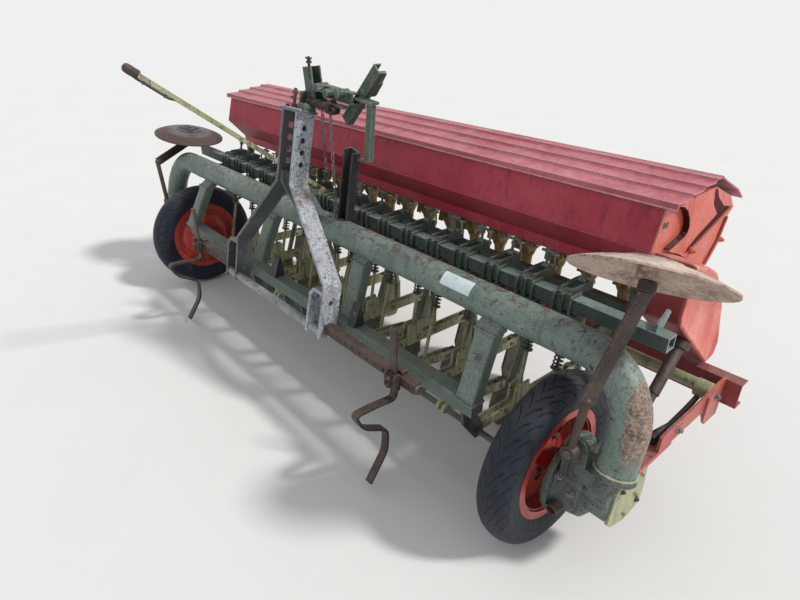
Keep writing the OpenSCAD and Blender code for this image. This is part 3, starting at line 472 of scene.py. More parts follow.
class Piece:
    # gathers bars, tubes and plates into one mesh
    def __init__(self, name):
        self.name = name
        self.bm = bmesh.new()

    def frameOf(self, a, b, up=toTop):
        # two directions across the line from a to b, and its own
        z = (b - a).normalized()
        x = Vector(up).cross(z)
        for spare in (toRight, toBack):
            if x.length < 1e-4:
                x = spare.cross(z)
        x.normalize()
        return x, z.cross(x), z

    def loft(self, rings, closed=False):
        made = [[self.bm.verts.new(p) for p in ring] for ring in rings]
        n = len(made[0])
        for low, high in zip(made, made[1:] + made[:1] if closed else made[1:]):
            for i in range(n):
                self.bm.faces.new((low[i], low[(i + 1) % n], high[(i + 1) % n], high[i]))
        if not closed:
            self.bm.faces.new(list(reversed(made[0])))
            self.bm.faces.new(made[-1])

    def tube(self, points, r, sides=10, closed=False):
        # r is one radius or one for each point
        pts, last = [Vector(p) for p in points], len(points) - 1
        radii = r if isinstance(r, list) else [r] * len(pts)
        x, y, z = self.frameOf(pts[0], pts[1])
        rings = []
        for i, p in enumerate(pts):
            if closed:
                after, before = pts[(i + 1) % len(pts)], pts[i - 1]
            else:
                after, before = pts[min(i + 1, last)], pts[max(i - 1, 0)]
            ahead = (after - before).normalized()
            x = (x - ahead * x.dot(ahead)).normalized()
            rings.append(circle(p, x, ahead.cross(x), radii[i], sides))
        self.loft(rings, closed)

    def rod(self, a, b, r, sides=16, bevel=0.0):
        d = (b - a).normalized() * bevel
        if bevel:
            self.tube([a, a + d, b - d, b], [r - bevel, r, r, r - bevel], sides)
        else:
            self.tube([a, b], r, sides)

    def pin(self, middle, half, r, sides, bevel=0.0, along=toRight):
        self.rod(middle - along * half, middle + along * half, r, sides, bevel)

    def section(self, a, b, flat, up):
        # draws a flat outline (across, towards up) from a to b
        x, y, z = self.frameOf(a, b, up)
        self.loft([[p + x * u + y * v for u, v in flat] for p in (a, b)])

    def bar(self, a, b, w, t, up=toTop, round=0.0):
        # w is measured across, t towards up
        w, t = w / 2, t / 2
        flat = [(-w, -t), (w, -t), (w, t), (-w, t)]
        if round:
            c = min(round, w / 1.005, t / 1.005)
            flat = [(c - w, -t), (w - c, -t), (w, c - t), (w, t - c), (w - c, t), (c - w, t), (-w, t - c), (-w, c - t)]
        self.section(a, b, flat, up)

    def channel(self, a, b, w, d, t, up):
        # a U section whose open side looks towards up
        w /= 2
        self.section(a, b, [(-w, 0), (w, 0), (w, d), (w - t, d), (w - t, t), (t - w, t), (t - w, d), (-w, d)], up)

    def prism(self, outline, along):
        self.loft([outline, [p + along for p in outline]])

    def slab(self, x, thick, outline):
        # outline holds (y, z) points
        self.prism([spot(x, y, z) for y, z in outline], toRight * thick)

    def lathe(self, centre, axis, profile, sides=32, closed=False):
        # profile holds (distance along the axis, radius)
        x, y, z = self.frameOf(centre, centre + axis)
        self.loft([circle(centre + axis * h, x, y, r, sides) for h, r in profile], closed)

    def toObject(self, name):
        bmesh.ops.recalc_face_normals(self.bm, faces=self.bm.faces)
        mesh = bpy.data.meshes.new(name)
        self.bm.to_mesh(mesh)
        self.bm.free()
        return addObject(name, mesh)

    def finish(self, finish, body, replaces=(), smooth=35):
        bmesh.ops.remove_doubles(self.bm, verts=self.bm.verts, dist=1e-6)
        return settle(self.toObject(self.name), finish, body, replaces, smooth)


def cutHoles(obj, rods):
    # rods holds (start, end, radius); the holes are cut through obj's mesh
    cutter = Piece("cutter")
    for a, b, r in rods:
        cutter.rod(a, b, r, 20)
    tool = cutter.toObject("cutter")
    cut = obj.modifiers.new("holes", "BOOLEAN")
    cut.operation, cut.solver, cut.object = "DIFFERENCE", "EXACT", tool
    done = evaluated(obj)
    obj.modifiers.clear()
    obj.data = done
    bpy.data.objects.remove(tool)
    done.shade_smooth()
    done.set_sharp_from_angle(angle=math.radians(35))


# node trees for what repeats
class NodeTree:
    def __init__(self, name, inputs):
        self.group = bpy.data.node_groups.new(name, "GeometryNodeTree")
        face, kind = self.group.interface, "NodeSocketGeometry"
        face.new_socket("Geometry", in_out="OUTPUT", socket_type=kind)
        face.new_socket("Geometry", in_out="INPUT", socket_type=kind)
        face.new_socket("Finish", in_out="INPUT", socket_type="NodeSocketMaterial")
        for label, value in inputs.items():
            kind = "NodeSocketInt" if isinstance(value, int) else "NodeSocketFloat"
            face.new_socket(label, in_out="INPUT", socket_type=kind).default_value = value
        self.ids = {s.name: s.identifier for s in face.items_tree if s.in_out == "INPUT"}
        self.given = self.group.nodes.new("NodeGroupInput").outputs

    def add(self, kind, values={}, out=0, **settings):
        return addNode(self.group, kind, values, settings).outputs[out]

    def geo(self, kind, values={}, **settings):
        return self.add("GeometryNode" + kind, values, **settings)

    def math(self, kind, a, b):
        return self.add("ShaderNodeMath", {0: a, 1: b}, operation=kind)

    def vector(self, values):
        return self.add("ShaderNodeCombineXYZ", values)

    def aimed(self):
        # turned so that Z follows the points' own direction
        facing = self.geo("InputNamedAttribute", {"Name": "facing"}, data_type="FLOAT_VECTOR")
        return self.add("FunctionNodeAlignRotationToVector", {"Vector": facing}, axis="Z")

    def onPoints(self, shape, turn):
        points = self.geo("MeshToPoints", {0: self.given["Geometry"]})
        return self.close(self.geo("InstanceOnPoints", {0: points, "Instance": shape, "Rotation": turn}))

    def close(self, geometry):
        real = self.geo("RealizeInstances", {0: geometry})
        paint = self.geo("SetMaterial", {0: real, "Material": self.given["Finish"]})
        sink = self.group.nodes.new("NodeGroupOutput")
        self.group.links.new(paint, sink.inputs[0])
        return self

    def run(self, obj, finish, values):
        m = obj.modifiers.new(self.group.name, "NODES")
        m.node_group = self.group
        for label, value in {"Finish": mats[finish], **values}.items():
            m[self.ids[label]] = value
        return obj


def pointCloud(name, points, facing=()):
    # a mesh of loose points; facing gives each one a direction
    mesh = bpy.data.meshes.new(name)
    mesh.from_pydata([tuple(p) for p in points], [], [])
    if facing:
        a = mesh.attributes.new("facing", "FLOAT_VECTOR", "POINT")
        a.data.foreach_set("vector", [c for v in facing for c in v])
    return addObject(name, mesh)


boltSet = {"Head Radius": 0.0095, "Head Height": 0.007, "Washer Radius": 0.013, "Washer Height": 0.002,
           "Stub Radius": 0.0055, "Stub Height": 0.005}
coilSet = {"Coil Radius": 0.0165, "Wire": 0.0037, "Length": 0.27, "Turns": 17.0}
chainSet = {"Link Length": 0.0262, "Link Width": 0.0162, "Wire": 0.0026, "Links": 23, "Pitch": 0.0206}
rowSet = {"rows": 17, "spacing": 0.16}


def makeBoltTree():
    # a hexagon head on a round washer, with a stub of thread above it
    t = NodeTree("hexBolts", {**boltSet, "Seed": 7})
    g = t.given
    top = t.math("ADD", g["Washer Height"], g["Head Height"])
    parts = []
    for word, sides, base in (("Washer", 14, 0.0), ("Head", 6, g["Washer Height"]), ("Stub", 10, top)):
        height = g[word + " Height"]
        shape = t.geo("MeshCylinder", {"Vertices": sides, "Radius": g[word + " Radius"], "Depth": height})
        move = t.vector({2: t.math("ADD", t.math("MULTIPLY", height, 0.5), base)})
        parts.append(t.geo("Transform", {0: shape, "Translation": move}))
    turn = t.add("FunctionNodeRandomValue", {2: 0.0, 3: 1.04, "Seed": g["Seed"]}, out=1, data_type="FLOAT")
    spin = t.add("FunctionNodeAxisAngleToRotation", {"Axis": toTop, "Angle": turn})
    both = t.add("FunctionNodeRotateRotation", {0: t.aimed(), 1: spin}, rotation_space="LOCAL")
    return t.onPoints(t.geo("JoinGeometry", {0: parts}), both)


boltTree = makeBoltTree()


def bolts(name, places, finish, body, size):
    # places holds (point, direction that the head faces)
    cloud = pointCloud(name + "Points", [p for p, d in places], [Vector(d).normalized() for p, d in places])
    boltTree.run(cloud, finish, {label: value * size for label, value in boltSet.items()})
    plainMesh(cloud, name, finish, body, smooth=30)


def makeChainTree():
    # oval links of round wire hung down a line, each turned a quarter from the one above
    t = NodeTree("hangingChain", chainSet)
    g = t.given
    step = t.vector({2: t.math("MULTIPLY", g["Pitch"], -1.0)})
    line = t.geo("MeshLine", {"Count": g["Links"], "Offset": step}, mode="OFFSET")
    ring = t.geo("CurvePrimitiveCircle", {"Resolution": 14, "Radius": 0.5}, mode="RADIUS")
    shape = t.vector({0: t.math("SUBTRACT", g["Link Width"], g["Wire"]),
                      1: t.math("SUBTRACT", g["Link Length"], g["Wire"]), 2: 1.0})
    oval = t.geo("Transform", {0: t.geo("Transform", {0: ring, "Scale": shape}), "Rotation": (math.pi / 2, 0, 0)})
    wire = t.geo("CurvePrimitiveCircle", {"Resolution": 7, "Radius": g["Wire"]}, mode="RADIUS")
    link = t.geo("CurveToMesh", {0: oval, 1: wire})
    odd = t.math("MODULO", t.geo("InputIndex"), 2.0)
    turn = t.add("FunctionNodeAxisAngleToRotation", {"Axis": toTop, "Angle": t.math("MULTIPLY", odd, math.pi / 2)})
    put = t.geo("InstanceOnPoints", {0: line, "Instance": link, "Rotation": turn})
    first = t.geo("SampleIndex", {0: g["Geometry"], 1: t.geo("InputPosition")}, data_type="FLOAT_VECTOR")
    return t.close(t.geo("Transform", {0: put, "Translation": first}))


def makeCoilTree():
    # a helical spring of round wire on each point, along the point's facing
    t = NodeTree("coilSprings", coilSet)
    g = t.given
    coil = t.geo("CurveSpiral", {"Resolution": 13, "Rotations": g["Turns"], "Start Radius": g["Coil Radius"],
                                 "End Radius": g["Coil Radius"], "Height": g["Length"]})
    wire = t.geo("CurvePrimitiveCircle", {"Resolution": 6, "Radius": g["Wire"]}, mode="RADIUS")
    return t.onPoints(t.geo("CurveToMesh", {0: coil, 1: wire, "Fill Caps": True}), t.aimed())


def makeRowTree():
    # one row's unit, copied along the machine at the row spacing
    t = NodeTree("rowUnits", {"Rows": rowSet["rows"], "Spacing": rowSet["spacing"], "First": -1.28})
    start, step = t.vector({0: t.given["First"]}), t.vector({0: t.given["Spacing"]})
    line = t.geo("MeshLine", {"Count": t.given["Rows"], "Start Location": start, "Offset": step}, mode="OFFSET")
    return t.close(t.geo("InstanceOnPoints", {0: line, "Instance": t.given["Geometry"]}))


rowTree = makeRowTree()


def rowX(i):
    return (i - (rowSet["rows"] - 1) / 2) * rowSet["spacing"]


def rowUnits(piece, finish, every=1, skip=0, replaces=(), smooth=35):
    # piece is modelled at x 0; every second row where every is 2
    obj = rowTree.run(piece.toObject(piece.name + "Unit"), finish,
                      {"Rows": len(range(skip, rowSet["rows"], every)), "Spacing": rowSet["spacing"] * every,
                       "First": rowX(skip)})
    plainMesh(obj, piece.name, finish, "frame", replaces, smooth)


print("mesh and node tools ready")

# wheels
halfTyre = [(-0.046, 0.2055), (-0.0485, 0.214), (-0.0565, 0.226), (-0.0615, 0.243), (-0.0645, 0.262), (-0.0646, 0.278),
            (-0.0615, 0.294), (-0.0555, 0.307), (-0.046, 0.3165), (-0.033, 0.3235), (-0.017, 0.3283), (0.0, 0.33)]
wheel = {"radius": 0.33, "track": 2.84, "steps": 144,
         "inside": [(0.04, 0.2055), (0.034, 0.235), (0.0, 0.25), (-0.034, 0.235), (-0.04, 0.2055)],
         # pressed rings: (distance outwards, radius, bead)
         "rings": [(0.0495, 0.2225, 0.0035), (0.0405, 0.184, 0.003), (-0.0495, 0.2225, 0.0035),
                   (-0.0395, 0.176, 0.004), (-0.0252, 0.165, 0.004), (-0.0252, 0.094, 0.0035)],
         "dish": [(-0.0382, 0.152), (-0.046, 0.147), (-0.0545, 0.118), (-0.0575, 0.09), (-0.058, 0.046),
                  (-0.038, 0.046)],
         "cap": [(0.07, 0.046), (0.078, 0.043), (0.084, 0.032), (0.085, 0.0225), (0.07, 0.0215)],
         "nuts": 6, "nutCircle": 0.078, "nutOut": -0.026, "nutIn": -0.058}


def makeTyre(centre, word, look):
    p = Piece("tyre" + word)
    outside = halfTyre + [(-h, r) for h, r in reversed(halfTyre[:-1])]
    p.lathe(centre, toRight, outside + look["inside"], look["steps"], closed=True)
    grown = p.bm.loops.layers.uv.new("treadMap")
    for f in p.bm.faces:
        turns = [math.atan2(l.vert.co.z - centre.z, l.vert.co.y - centre.y) for l in f.loops]
        if max(turns) - min(turns) > math.pi:
            turns = [t + 2 * math.pi if t < 0 else t for t in turns]
        for l, t in zip(f.loops, turns):
            l[grown].uv = (t * look["radius"], l.vert.co.x - centre.x)
    p.finish("tyreRubber", "wheel_" + word.lower(), ["tyre_" + word.lower()], smooth=60)


def makeRimRings(centre, out, word, look):
    # pressed rings, hub cap and wheel nuts over the plain rim
    p = Piece("rimRings" + word)
    for h, r, bead in look["rings"]:
        p.tube(circle(centre + out * h, toBack, toTop, r, 72), bead, 8, closed=True)
    p.lathe(centre, out, look["dish"], 56)
    p.lathe(centre, out, look["cap"], 40, closed=True)
    p.finish("rimRed", "wheel_" + word.lower(), smooth=50)
    places = []
    for k in range(look["nuts"]):
        d = spoke(30 + 360 / look["nuts"] * k) * look["nutCircle"]
        places += [(centre + out * look["nutOut"] + d, out), (centre + out * look["nutIn"] + d, -out)]
    bolts(p.name + "Nuts", places, "rustySteel", "wheel_" + word.lower(), 1.05)


for side, word in ends:
    middle = spot(side * wheel["track"] / 2, 0, wheel["radius"])
    makeTyre(middle, word, wheel)
    makeRimRings(middle, toRight * side, word, wheel)
print("wheels done")

# pressure springs and their rods; places are (y, z)
springSet = {"top": (0.300, 0.930), "low": [(0.135, 0.2768), (0.212, 0.371)], "coilFrom": 0.4, "coilTo": 0.13,
             "rod": 0.0085, "guide": 0.0062, "cap": 0.0225, "nut": 0.011}


def makeSprings(look):
    starts, facing = [], []
    rods, caps = Piece("springRods"), Piece("springCaps")
    for i in range(rowSet["rows"]):
        low, high = spot(rowX(i), *look["low"][i % 2]), spot(rowX(i), *look["top"])
        d = (high - low).normalized()
        start = high - d * look["coilFrom"]
        starts.append(start)
        facing.append(d)
        rods.rod(low, start, look["rod"], 12)
        rods.pin(low, 0.0117, 0.0125, 16, 0.002)
        caps.rod(start, high + d * 0.012, look["guide"], 10)
        for far in (look["coilFrom"], look["coilTo"] - 0.004):
            caps.rod(high - d * (far + 0.006), high - d * far, look["cap"], 20, 0.0015)
        caps.pin(high - d * 0.058, 0.0167, 0.012, 16, 0.002)
        caps.pin(high, 0.03, 0.0058, 10, 0.001)
        caps.rod(high - d * 0.02, high - d * 0.008, look["nut"], 6)
    rods.finish("limeGreen", "frame")
    caps.finish("darkGreen", "frame")
    coils = makeCoilTree().run(pointCloud("coilStarts", starts, facing), "springSteel",
                               {**coilSet, "Length": look["coilFrom"] - look["coilTo"]})
    plainMesh(coils, "coilSprings", "springSteel", "frame", ["springs"], smooth=80)


makeSprings(springSet)
print("springs done")

# what every row carries on the pressure bar
clampSet = {"barY": 0.2, "barZ": 0.826, "half": 0.025, "loop": 0.0056, "loopX": 0.034, "nut": 0.0085,
            "forkY": 0.318, "forkZ": 0.866, "knobY": 0.345, "knobZ": 0.9}


def makeRowFittings(look):
    y, z, h = look["barY"], look["barZ"], look["half"]
    g = h + look["loop"] + 0.0008   # the loop's middle line, outside the bar
    loop = Piece("clampLoops")
    rise = [(g, -0.052), (g, h - 0.004), (g - 0.003, g - 0.002), (h - 0.004, g)]
    for x in (-look["loopX"], look["loopX"]):
        path = [spot(x, y - a, z + b) for a, b in rise] + [spot(x, y + a, z + b) for a, b in reversed(rise)]
        loop.tube(path, look["loop"], 8)
        for a in (y - g, y + g):
            loop.rod(spot(x, a, z - 0.049), spot(x, a, z - 0.041), look["nut"], 6)
    rowUnits(loop, "clampGreen")
    plate = Piece("clampPlates")
    plate.bar(spot(0, y - 0.043, z - h - 0.0145), spot(0, y + 0.043, z - h - 0.0145), 0.088, 0.006, round=0.002)
    for s, word in ends:
        plate.bar(spot(s * 0.026, y + 0.03, z + 0.044), spot(s * 0.026, y + 0.112, z + 0.042), 0.0035, 0.022,
                  round=0.001)
    rowUnits(plate, "clampGreen")
    # lime wear plates and knobs that catch the light on the forks' ends
    y, z, knobZ = look["knobY"], look["forkZ"], look["knobZ"]
    tip = Piece("forkTips")
    tip.pin(spot(0, look["forkY"], z), 0.0285, 0.009, 12, 0.002)
    tip.bar(spot(0, look["forkY"] - 0.016, z + 0.008), spot(0, look["forkY"] + 0.018, z - 0.008), 0.03, 0.004,
            round=0.001)
    tip.rod(spot(0, y, z - 0.024), spot(0, y, knobZ), 0.0045, 8)
    tip.rod(spot(-0.016, y, knobZ), spot(0.016, y, knobZ + 0.005), 0.0045, 8)
    rowUnits(tip, "limeGreen")


makeRowFittings(clampSet)

meterSet = {"y": 0.613, "z": 0.795, "drum": 0.046, "half": 0.031, "flangeZ": 0.8415,
            "funnel": [(0.556, 0.839), (0.674, 0.839), (0.668, 0.79), (0.64, 0.745), (0.59, 0.745), (0.562, 0.79)],
            "spout": [(0.0, 0.03), (0.004, 0.034), (0.012, 0.034), (0.03, 0.025), (0.066, 0.0225), (0.068, 0.0205),
                      (0.0, 0.0205)],
            "gear": (0.0365, 0.636, 0.8), "gearWide": 0.008, "gearOuter": 0.03, "gearInner": 0.0125, "teeth": 11}


def makeMeters(look):
    # moulded seed housings under the hopper: a flange, two round cheeks, a funnel and a slide
    p = Piece("meterHousings")
    p.bar(spot(0, 0.542, look["flangeZ"]), spot(0, 0.69, look["flangeZ"]), 0.078, 0.0048, round=0.0012)
    middle, half = spot(0, look["y"], look["z"]), look["half"]
    p.pin(middle, half, look["drum"], 28, 0.004)
    for s, word in ends:
        p.rod(middle + toRight * s * half, middle + toRight * s * (half + 0.0045), 0.03, 20, 0.002)
    p.slab(-0.028, 0.056, look["funnel"])
    p.lathe(spot(0, 0.615, 0.75), -toTop, look["spout"], 24, closed=True)
    p.bar(spot(0, 0.545, 0.822), spot(0, 0.535, 0.775), 0.03, 0.004, up=toBack, round=0.001)
    rowUnits(p, "meterBrown", replaces=["metering_units"])
    gear = Piece("meterGears")
    hub, w, inner, outer = spot(*look["gear"]), look["gearWide"], look["gearInner"], look["gearOuter"]
    gear.lathe(hub, toRight, [(0.0, inner), (0.0, outer), (w, outer), (w, inner)], 22, closed=True)
    for k in range(look["teeth"]):
        root, d = hub + toRight * w / 2, spoke(360 * k / look["teeth"])
        gear.bar(root + d * 0.029, root + d * 0.036, w, 0.005, up=toRight)
    rowUnits(gear, "brightSteel")


makeMeters(meterSet)

# coulter bars' pivot bolts: share of the way to the shoe, radius
armSet = {"pivot": (-0.06, 0.305), "Front": (0.306, 0.252), "Rear": (0.588, 0.286),
          "bolts": [(0.0, 0.013), (0.27, 0.0085), (0.62, 0.0085), (0.93, 0.0085)]}


def makeArmFittings(look):
    for skip, rank in enumerate(("Front", "Rear")):
        p = Piece("armBolts" + rank)
        a, b = spot(0, *look["pivot"]), spot(0, *look[rank])
        for share, r in look["bolts"]:
            for s, word in ends:
                q = [a.lerp(b, share) + toRight * s * x for x in (0.0202, 0.0222, 0.0285)]
                p.rod(q[0], q[1], r * 1.35, 14)
                p.rod(q[1], q[2], r, 6)
        rowUnits(p, "darkSteel", every=2, skip=skip, smooth=30)


makeArmFittings(armSet)
print("row fittings done")

# chains on the headstock: piece, x, links, what it replaces
chainPlaces = [("chainLong", 0.15, 23, ["chains"]), ("chainShort", 0.09, 13, [])]


def makeChains(places):
    tree = makeChainTree()
    for name, x, links, replaced in places:
        start = pointCloud(name + "Start", [spot(x, 0.028, 1.3165)])
        tree.run(start, "brightSteel", {**chainSet, "Links": links})
        plainMesh(start, name, "brightSteel", "frame", replaced, smooth=80)


makeChains(chainPlaces)

# headstock fastenings
head = {"topY": -0.036, "topZ": 1.318, "lean": -math.radians(11.9), "pinZ": 0.573, "plateZ": 1.3305, "boltZ": 1.3282,
        "bolts": [(0.03, 0.028), (-0.055, 0.02), (-0.055, -0.02)]}


def onHead(x, y, z):
    # a point in the leaning headstock's own frame
    dz = z - head["topZ"]
    c, s = math.cos(head["lean"]), math.sin(head["lean"])
    return spot(x, head["topY"] + y * c - dz * s, head["topZ"] + y * s + dz * c)


def makeHeadFittings(look):
    p = Piece("linkPins")
    far, shoulder, inner = (onHead(x, 0, look["pinZ"]) for x in (-0.494, -0.486, -0.376))
    p.rod(shoulder, inner, 0.0118, 18, 0.002)
    p.tube([far, shoulder], 0.017, 20)
    p.finish("rustySteel", "frame")
    top = Piece("headPlateEdges")
    for y in (-0.036, 0.036):
        top.bar(onHead(-0.078, y, look["plateZ"]), onHead(0.078, y, look["plateZ"]), 0.008, 0.005, round=0.001)
    top.finish("wornSilver", "frame")
    # painted shade: a black strip behind the right leg's holes, so that they look dark
    back = Piece("legHoleShadeRight")
    back.bar(onHead(0.0465, 0, 1.085), onHead(0.0465, 0, 1.272), 0.003, 0.05, up=toBack, round=0.001)
    back.finish("blackPaint", "frame")
    places = [(onHead(-0.048, 0, 1.06), toRight)] + [(onHead(x, y, look["boltZ"]), toTop) for x, y in look["bolts"]]
    bolts("headBolts", places, "rustySteel", "frame", 1.1)


makeHeadFittings(head)
print("headstock done")

# welds, blank label and bolts on the frame
frameSet = {"tubeY": 0.03, "tubeZ": 0.8, "tubeR": 0.061, "legX": 1.68, "welds": (1.15, 1.315),
            "labelX": (0.885, 1.03), "labelTurn": (18, 70), "rows": 12, "columns": 10, "seed": 11}


def weldRing(piece, centre, axis, radius, bead, seed, steps=60):
    # an uneven bead laid round a joint
    rnd = random.Random(seed)
    x, y, z = piece.frameOf(centre, centre + axis)
    pts, radii = [], []
    for k in range(steps):
        t = math.radians(360 * k / steps)
        pts.append(centre + (x * math.cos(t) + y * math.sin(t)) * (radius + rnd.uniform(-0.0012, 0.0012)))
        radii.append(bead * rnd.uniform(0.75, 1.2))
    piece.tube(pts, radii, 7, closed=True)


def makeWelds(look):
    p = Piece("frameWelds")
    for s, word in ends:
        for x in look["welds"]:
            middle = spot(s * x, look["tubeY"], look["tubeZ"])
            weldRing(p, middle, toRight, look["tubeR"] + 0.0002, 0.0016, look["seed"] + s)
    p.finish("tubeGreen", "frame", smooth=60)


def makeLabel(look):
    # a blank white film stuck round the tube's upper front
    p = Piece("blankLabel")
    middle, r = spot(0, look["tubeY"], look["tubeZ"]), look["tubeR"] + 0.0005
    (x0, x1), (low, high), rows, columns = look["labelX"], look["labelTurn"], look["rows"], look["columns"]
    grid = []
    for i in range(rows + 1):
        d = spoke(180 - low - (high - low) * i / rows) * r
        row = [middle + d + toRight * (x0 + (x1 - x0) * j / columns) for j in range(columns + 1)]
        grid.append([p.bm.verts.new(q) for q in row])
    for low, high in zip(grid, grid[1:]):
        for j in range(columns):
            p.bm.faces.new((low[j], low[j + 1], high[j + 1], high[j]))
    p.finish("labelWhite", "frame", smooth=180)


tineX = 0.874   # the square shanks' place on the angle


def makeFrameBolts(legX):
    # tube's front, side bars, their ends, castings, then the beam's brackets and the changeover's foot
    places = [(spot(1.15, -0.11, 0.66), (0, -1, 0.4))]
    clamps = []
    for s, word in ends:
        places += [(spot(s * (legX - 0.02), y, 0.4385), toTop) for y in (0.085, 0.125)]
        places += [(spot(s * (legX + 0.03), y, z), (s, 0, 0)) for y, z in ((0.30, 0.47), (0.6, 0.46))]
        places += [(spot(s * x, y, z), toFront)
                   for x, y, z in ((1.66, 0.658, 0.455), (1.535, -0.111, 0.40), (1.585, -0.111, 0.36))]
        clamps += [(spot(s * tineX, -0.2665, z), toFront) for z in (0.463, 0.494)]
    places += [(spot(x, -0.125, 0.56), (0, -0.9, 0.3)) for x in (-0.164, 0.496)]
    places += [(spot(x, 0.02, 1.416), toFront) for x in (0.104, 0.238)]
    bolts("frameBolts", places, "darkSteel", "frame", 1.15)
    bolts("tineBolts", clamps, "oldIron", "frame", 0.95)


makeWelds(frameSet)
makeLabel(frameSet)
makeFrameBolts(frameSet["legX"])

# hopper ends; outlines are (y, z); wall, besideBrace and besideFlange place the painted shade
endSet = {"wallX": (1.4826, 1.5025), "wallThick": 0.0035, "shadeX": 1.5028,
          "wall": [(0.438, 1.1655), (0.472, 1.1445), (0.4975, 1.115), (0.5125, 1.0835), (0.5095, 1.0635),
                   (0.4905, 1.05), (0.446, 1.0385), (0.402, 1.0295)],
          "besideBrace": [(0.832, 1.0835), (0.566, 0.9915), (0.52, 0.98), (0.55, 1.003), (0.599, 1.028), (0.7, 1.066),
                          (0.727, 1.078), (0.672, 1.125), (0.655, 1.182), (0.672, 1.181), (0.7, 1.145), (0.77, 1.098)],
          "besideFlange": [(0.8145, 1.046), (0.785, 0.9595), (0.722, 0.886), (0.715, 0.889), (0.777, 0.963),
                           (0.807, 1.046)]}


def makeEndFittings(look):
    places = []
    slots, shadeStrips = Piece("endPocketSlots"), Piece("endPaintedShade")
    x0, x1 = look["wallX"]
    for s, word in ends:
        places += [(spot(s * x, y, z), (s, 0, 0)) for x, y, z in ((1.5143, 0.564, 0.984), (1.5123, 0.806, 0.962))]
        # black patches stand for the small slots in the inner wall: painted shade in their openings
        slots.bar(spot(s * 1.4824, 0.36, 1.115), spot(s * 1.4824, 0.395, 1.112), 0.002, 0.02, round=0.0005)
        # painted shade: near-black strips along the pocket's curved wall, and thin sheets of painted shadow beside the
        # brace and beside the rear flange
        wall = [spot(s * (x0 + x1) / 2, y, z) for y, z in look["wall"]]
        for a, b in zip(wall, wall[1:]):
            shadeStrips.bar(a, b, x1 - x0, look["wallThick"], up=toFront)
        for outline in (look["besideBrace"], look["besideFlange"]):
            shadeStrips.slab(s * look["shadeX"], s * 0.0012, outline)
    bolts("endBolts", places, "endRed", "frame", 0.85)
    slots.finish("blackPaint", "frame")
    shadeStrips.finish("hollowRed", "frame", smooth=50)


makeEndFittings(endSet)

tailSet = {"stay": [(1.668, 0.555, 0.468), (1.667, 0.46, 0.45), (1.66, 0.36, 0.425), (1.648, 0.27, 0.43)],
           "stayR": 0.0105, "strap": [(1.675, 0.29, 0.45), (1.675, 0.2, 0.447)]}


def makeTailParts(look):
    # the black stay between the cross tube and the wheel's casting, with its flat end
    p = Piece("tailStraps")
    for s, word in ends:
        p.tube([spot(s * x, y, z) for x, y, z in look["stay"]], look["stayR"], 10)
        p.bar(*(spot(s * x, y, z) for x, y, z in look["strap"]), 0.012, 0.05, round=0.002)
    p.finish("blackPaint", "frame", smooth=50)


makeTailParts(tailSet)

bracketSet = {"places": (-1.41, -0.56, 0.56, 1.41), "thick": 0.014,
              "line": [(0.07, 0.75), (0.12, 0.726), (0.37, 0.716), (0.4, 0.7), (0.4408, 0.7), (0.4408, 0.862),
                       (0.462, 0.872), (0.45, 0.885), (0.4, 0.87), (0.3985, 0.79), (0.36, 0.772), (0.13, 0.782),
                       (0.086, 0.812), (0.08, 0.78)]}


def makeBrackets(look):
    # plates that carry the hopper, led from the tube under the pressure bar
    p = Piece("hopperPlates")
    for x in look["places"]:
        p.slab(x - look["thick"] / 2, look["thick"], look["line"])
    p.finish("darkGreen", "frame", ["hopper_brackets"])


makeBrackets(bracketSet)
print("frame details done")

# struts as closed, rounded boxes that flare where they are welded to the tube
strutSet = {"outer": ((1.133, 0.004, 0.795), (1.165, -0.1465, 0.503)),
            "inner": ((0.377, 0.022, 0.795), (0.408, -0.096, 0.503)),
            "width": 0.086, "depth": 0.062, "round": 0.011, "seed": 5,
            # share of the way down, how much wider, how much deeper, how far back
            "rings": [(0.0, 0.85, 0.45, 0.026), (0.07, 1.0, 0.62, 0.022), (0.13, 1.14, 0.84, 0.013),
                      (0.18, 1.17, 1.0, 0.005), (0.23, 1.1, 1.03, 0.0), (0.29, 1.02, 1.0, 0.0),
                      (0.36, 0.99, 0.98, 0.0), (0.93, 0.96, 0.96, 0.0), (0.965, 0.99, 0.99, 0.0),
                      (1.0, 1.05, 1.05, 0.0)],
            "welds": [(0.985, 1.05, 0.0045), (0.2, 1.13, 0.004)]}   # share, size, bead


def roundedSection(centre, w, d, r, steps=3):
    ring = []
    for cx, cy, start in ((1, 1, 0), (-1, 1, 90), (-1, -1, 180), (1, -1, 270)):
        for k in range(steps + 1):
            t = math.radians(start + 90 * k / steps)
            across, along = cx * (w / 2 - r) + r * math.cos(t), cy * (d / 2 - r) + r * math.sin(t)
            ring.append(centre + toRight * across + toBack * along)
    return ring


def makeStruts(look):
    p, weld = Piece("strutBoxes"), Piece("strutWelds")
    rnd = random.Random(look["seed"])
    w, d, r = look["width"], look["depth"], look["round"]
    for s, word in ends:
        for key in ("outer", "inner"):
            a, b = (spot(s * x, y, z) for x, y, z in look[key])
            p.loft([roundedSection(a.lerp(b, t) + toBack * back, w * wide, d * deep, r)
                    for t, wide, deep, back in look["rings"]])
            # uneven bead where the strut meets the tube and the beam
            for t, grow, bead in look["welds"]:
                ring = roundedSection(a.lerp(b, t), w * grow, d * grow, r, 4)
                weld.tube([q + toTop * rnd.uniform(-0.0015, 0.0015) for q in ring],
                          [bead * rnd.uniform(0.7, 1.25) for q in ring], 6, closed=True)
    p.finish("strutGreen", "frame", ["struts"], smooth=40)
    weld.finish("tubeGreen", "frame", smooth=60)


makeStruts(strutSet)

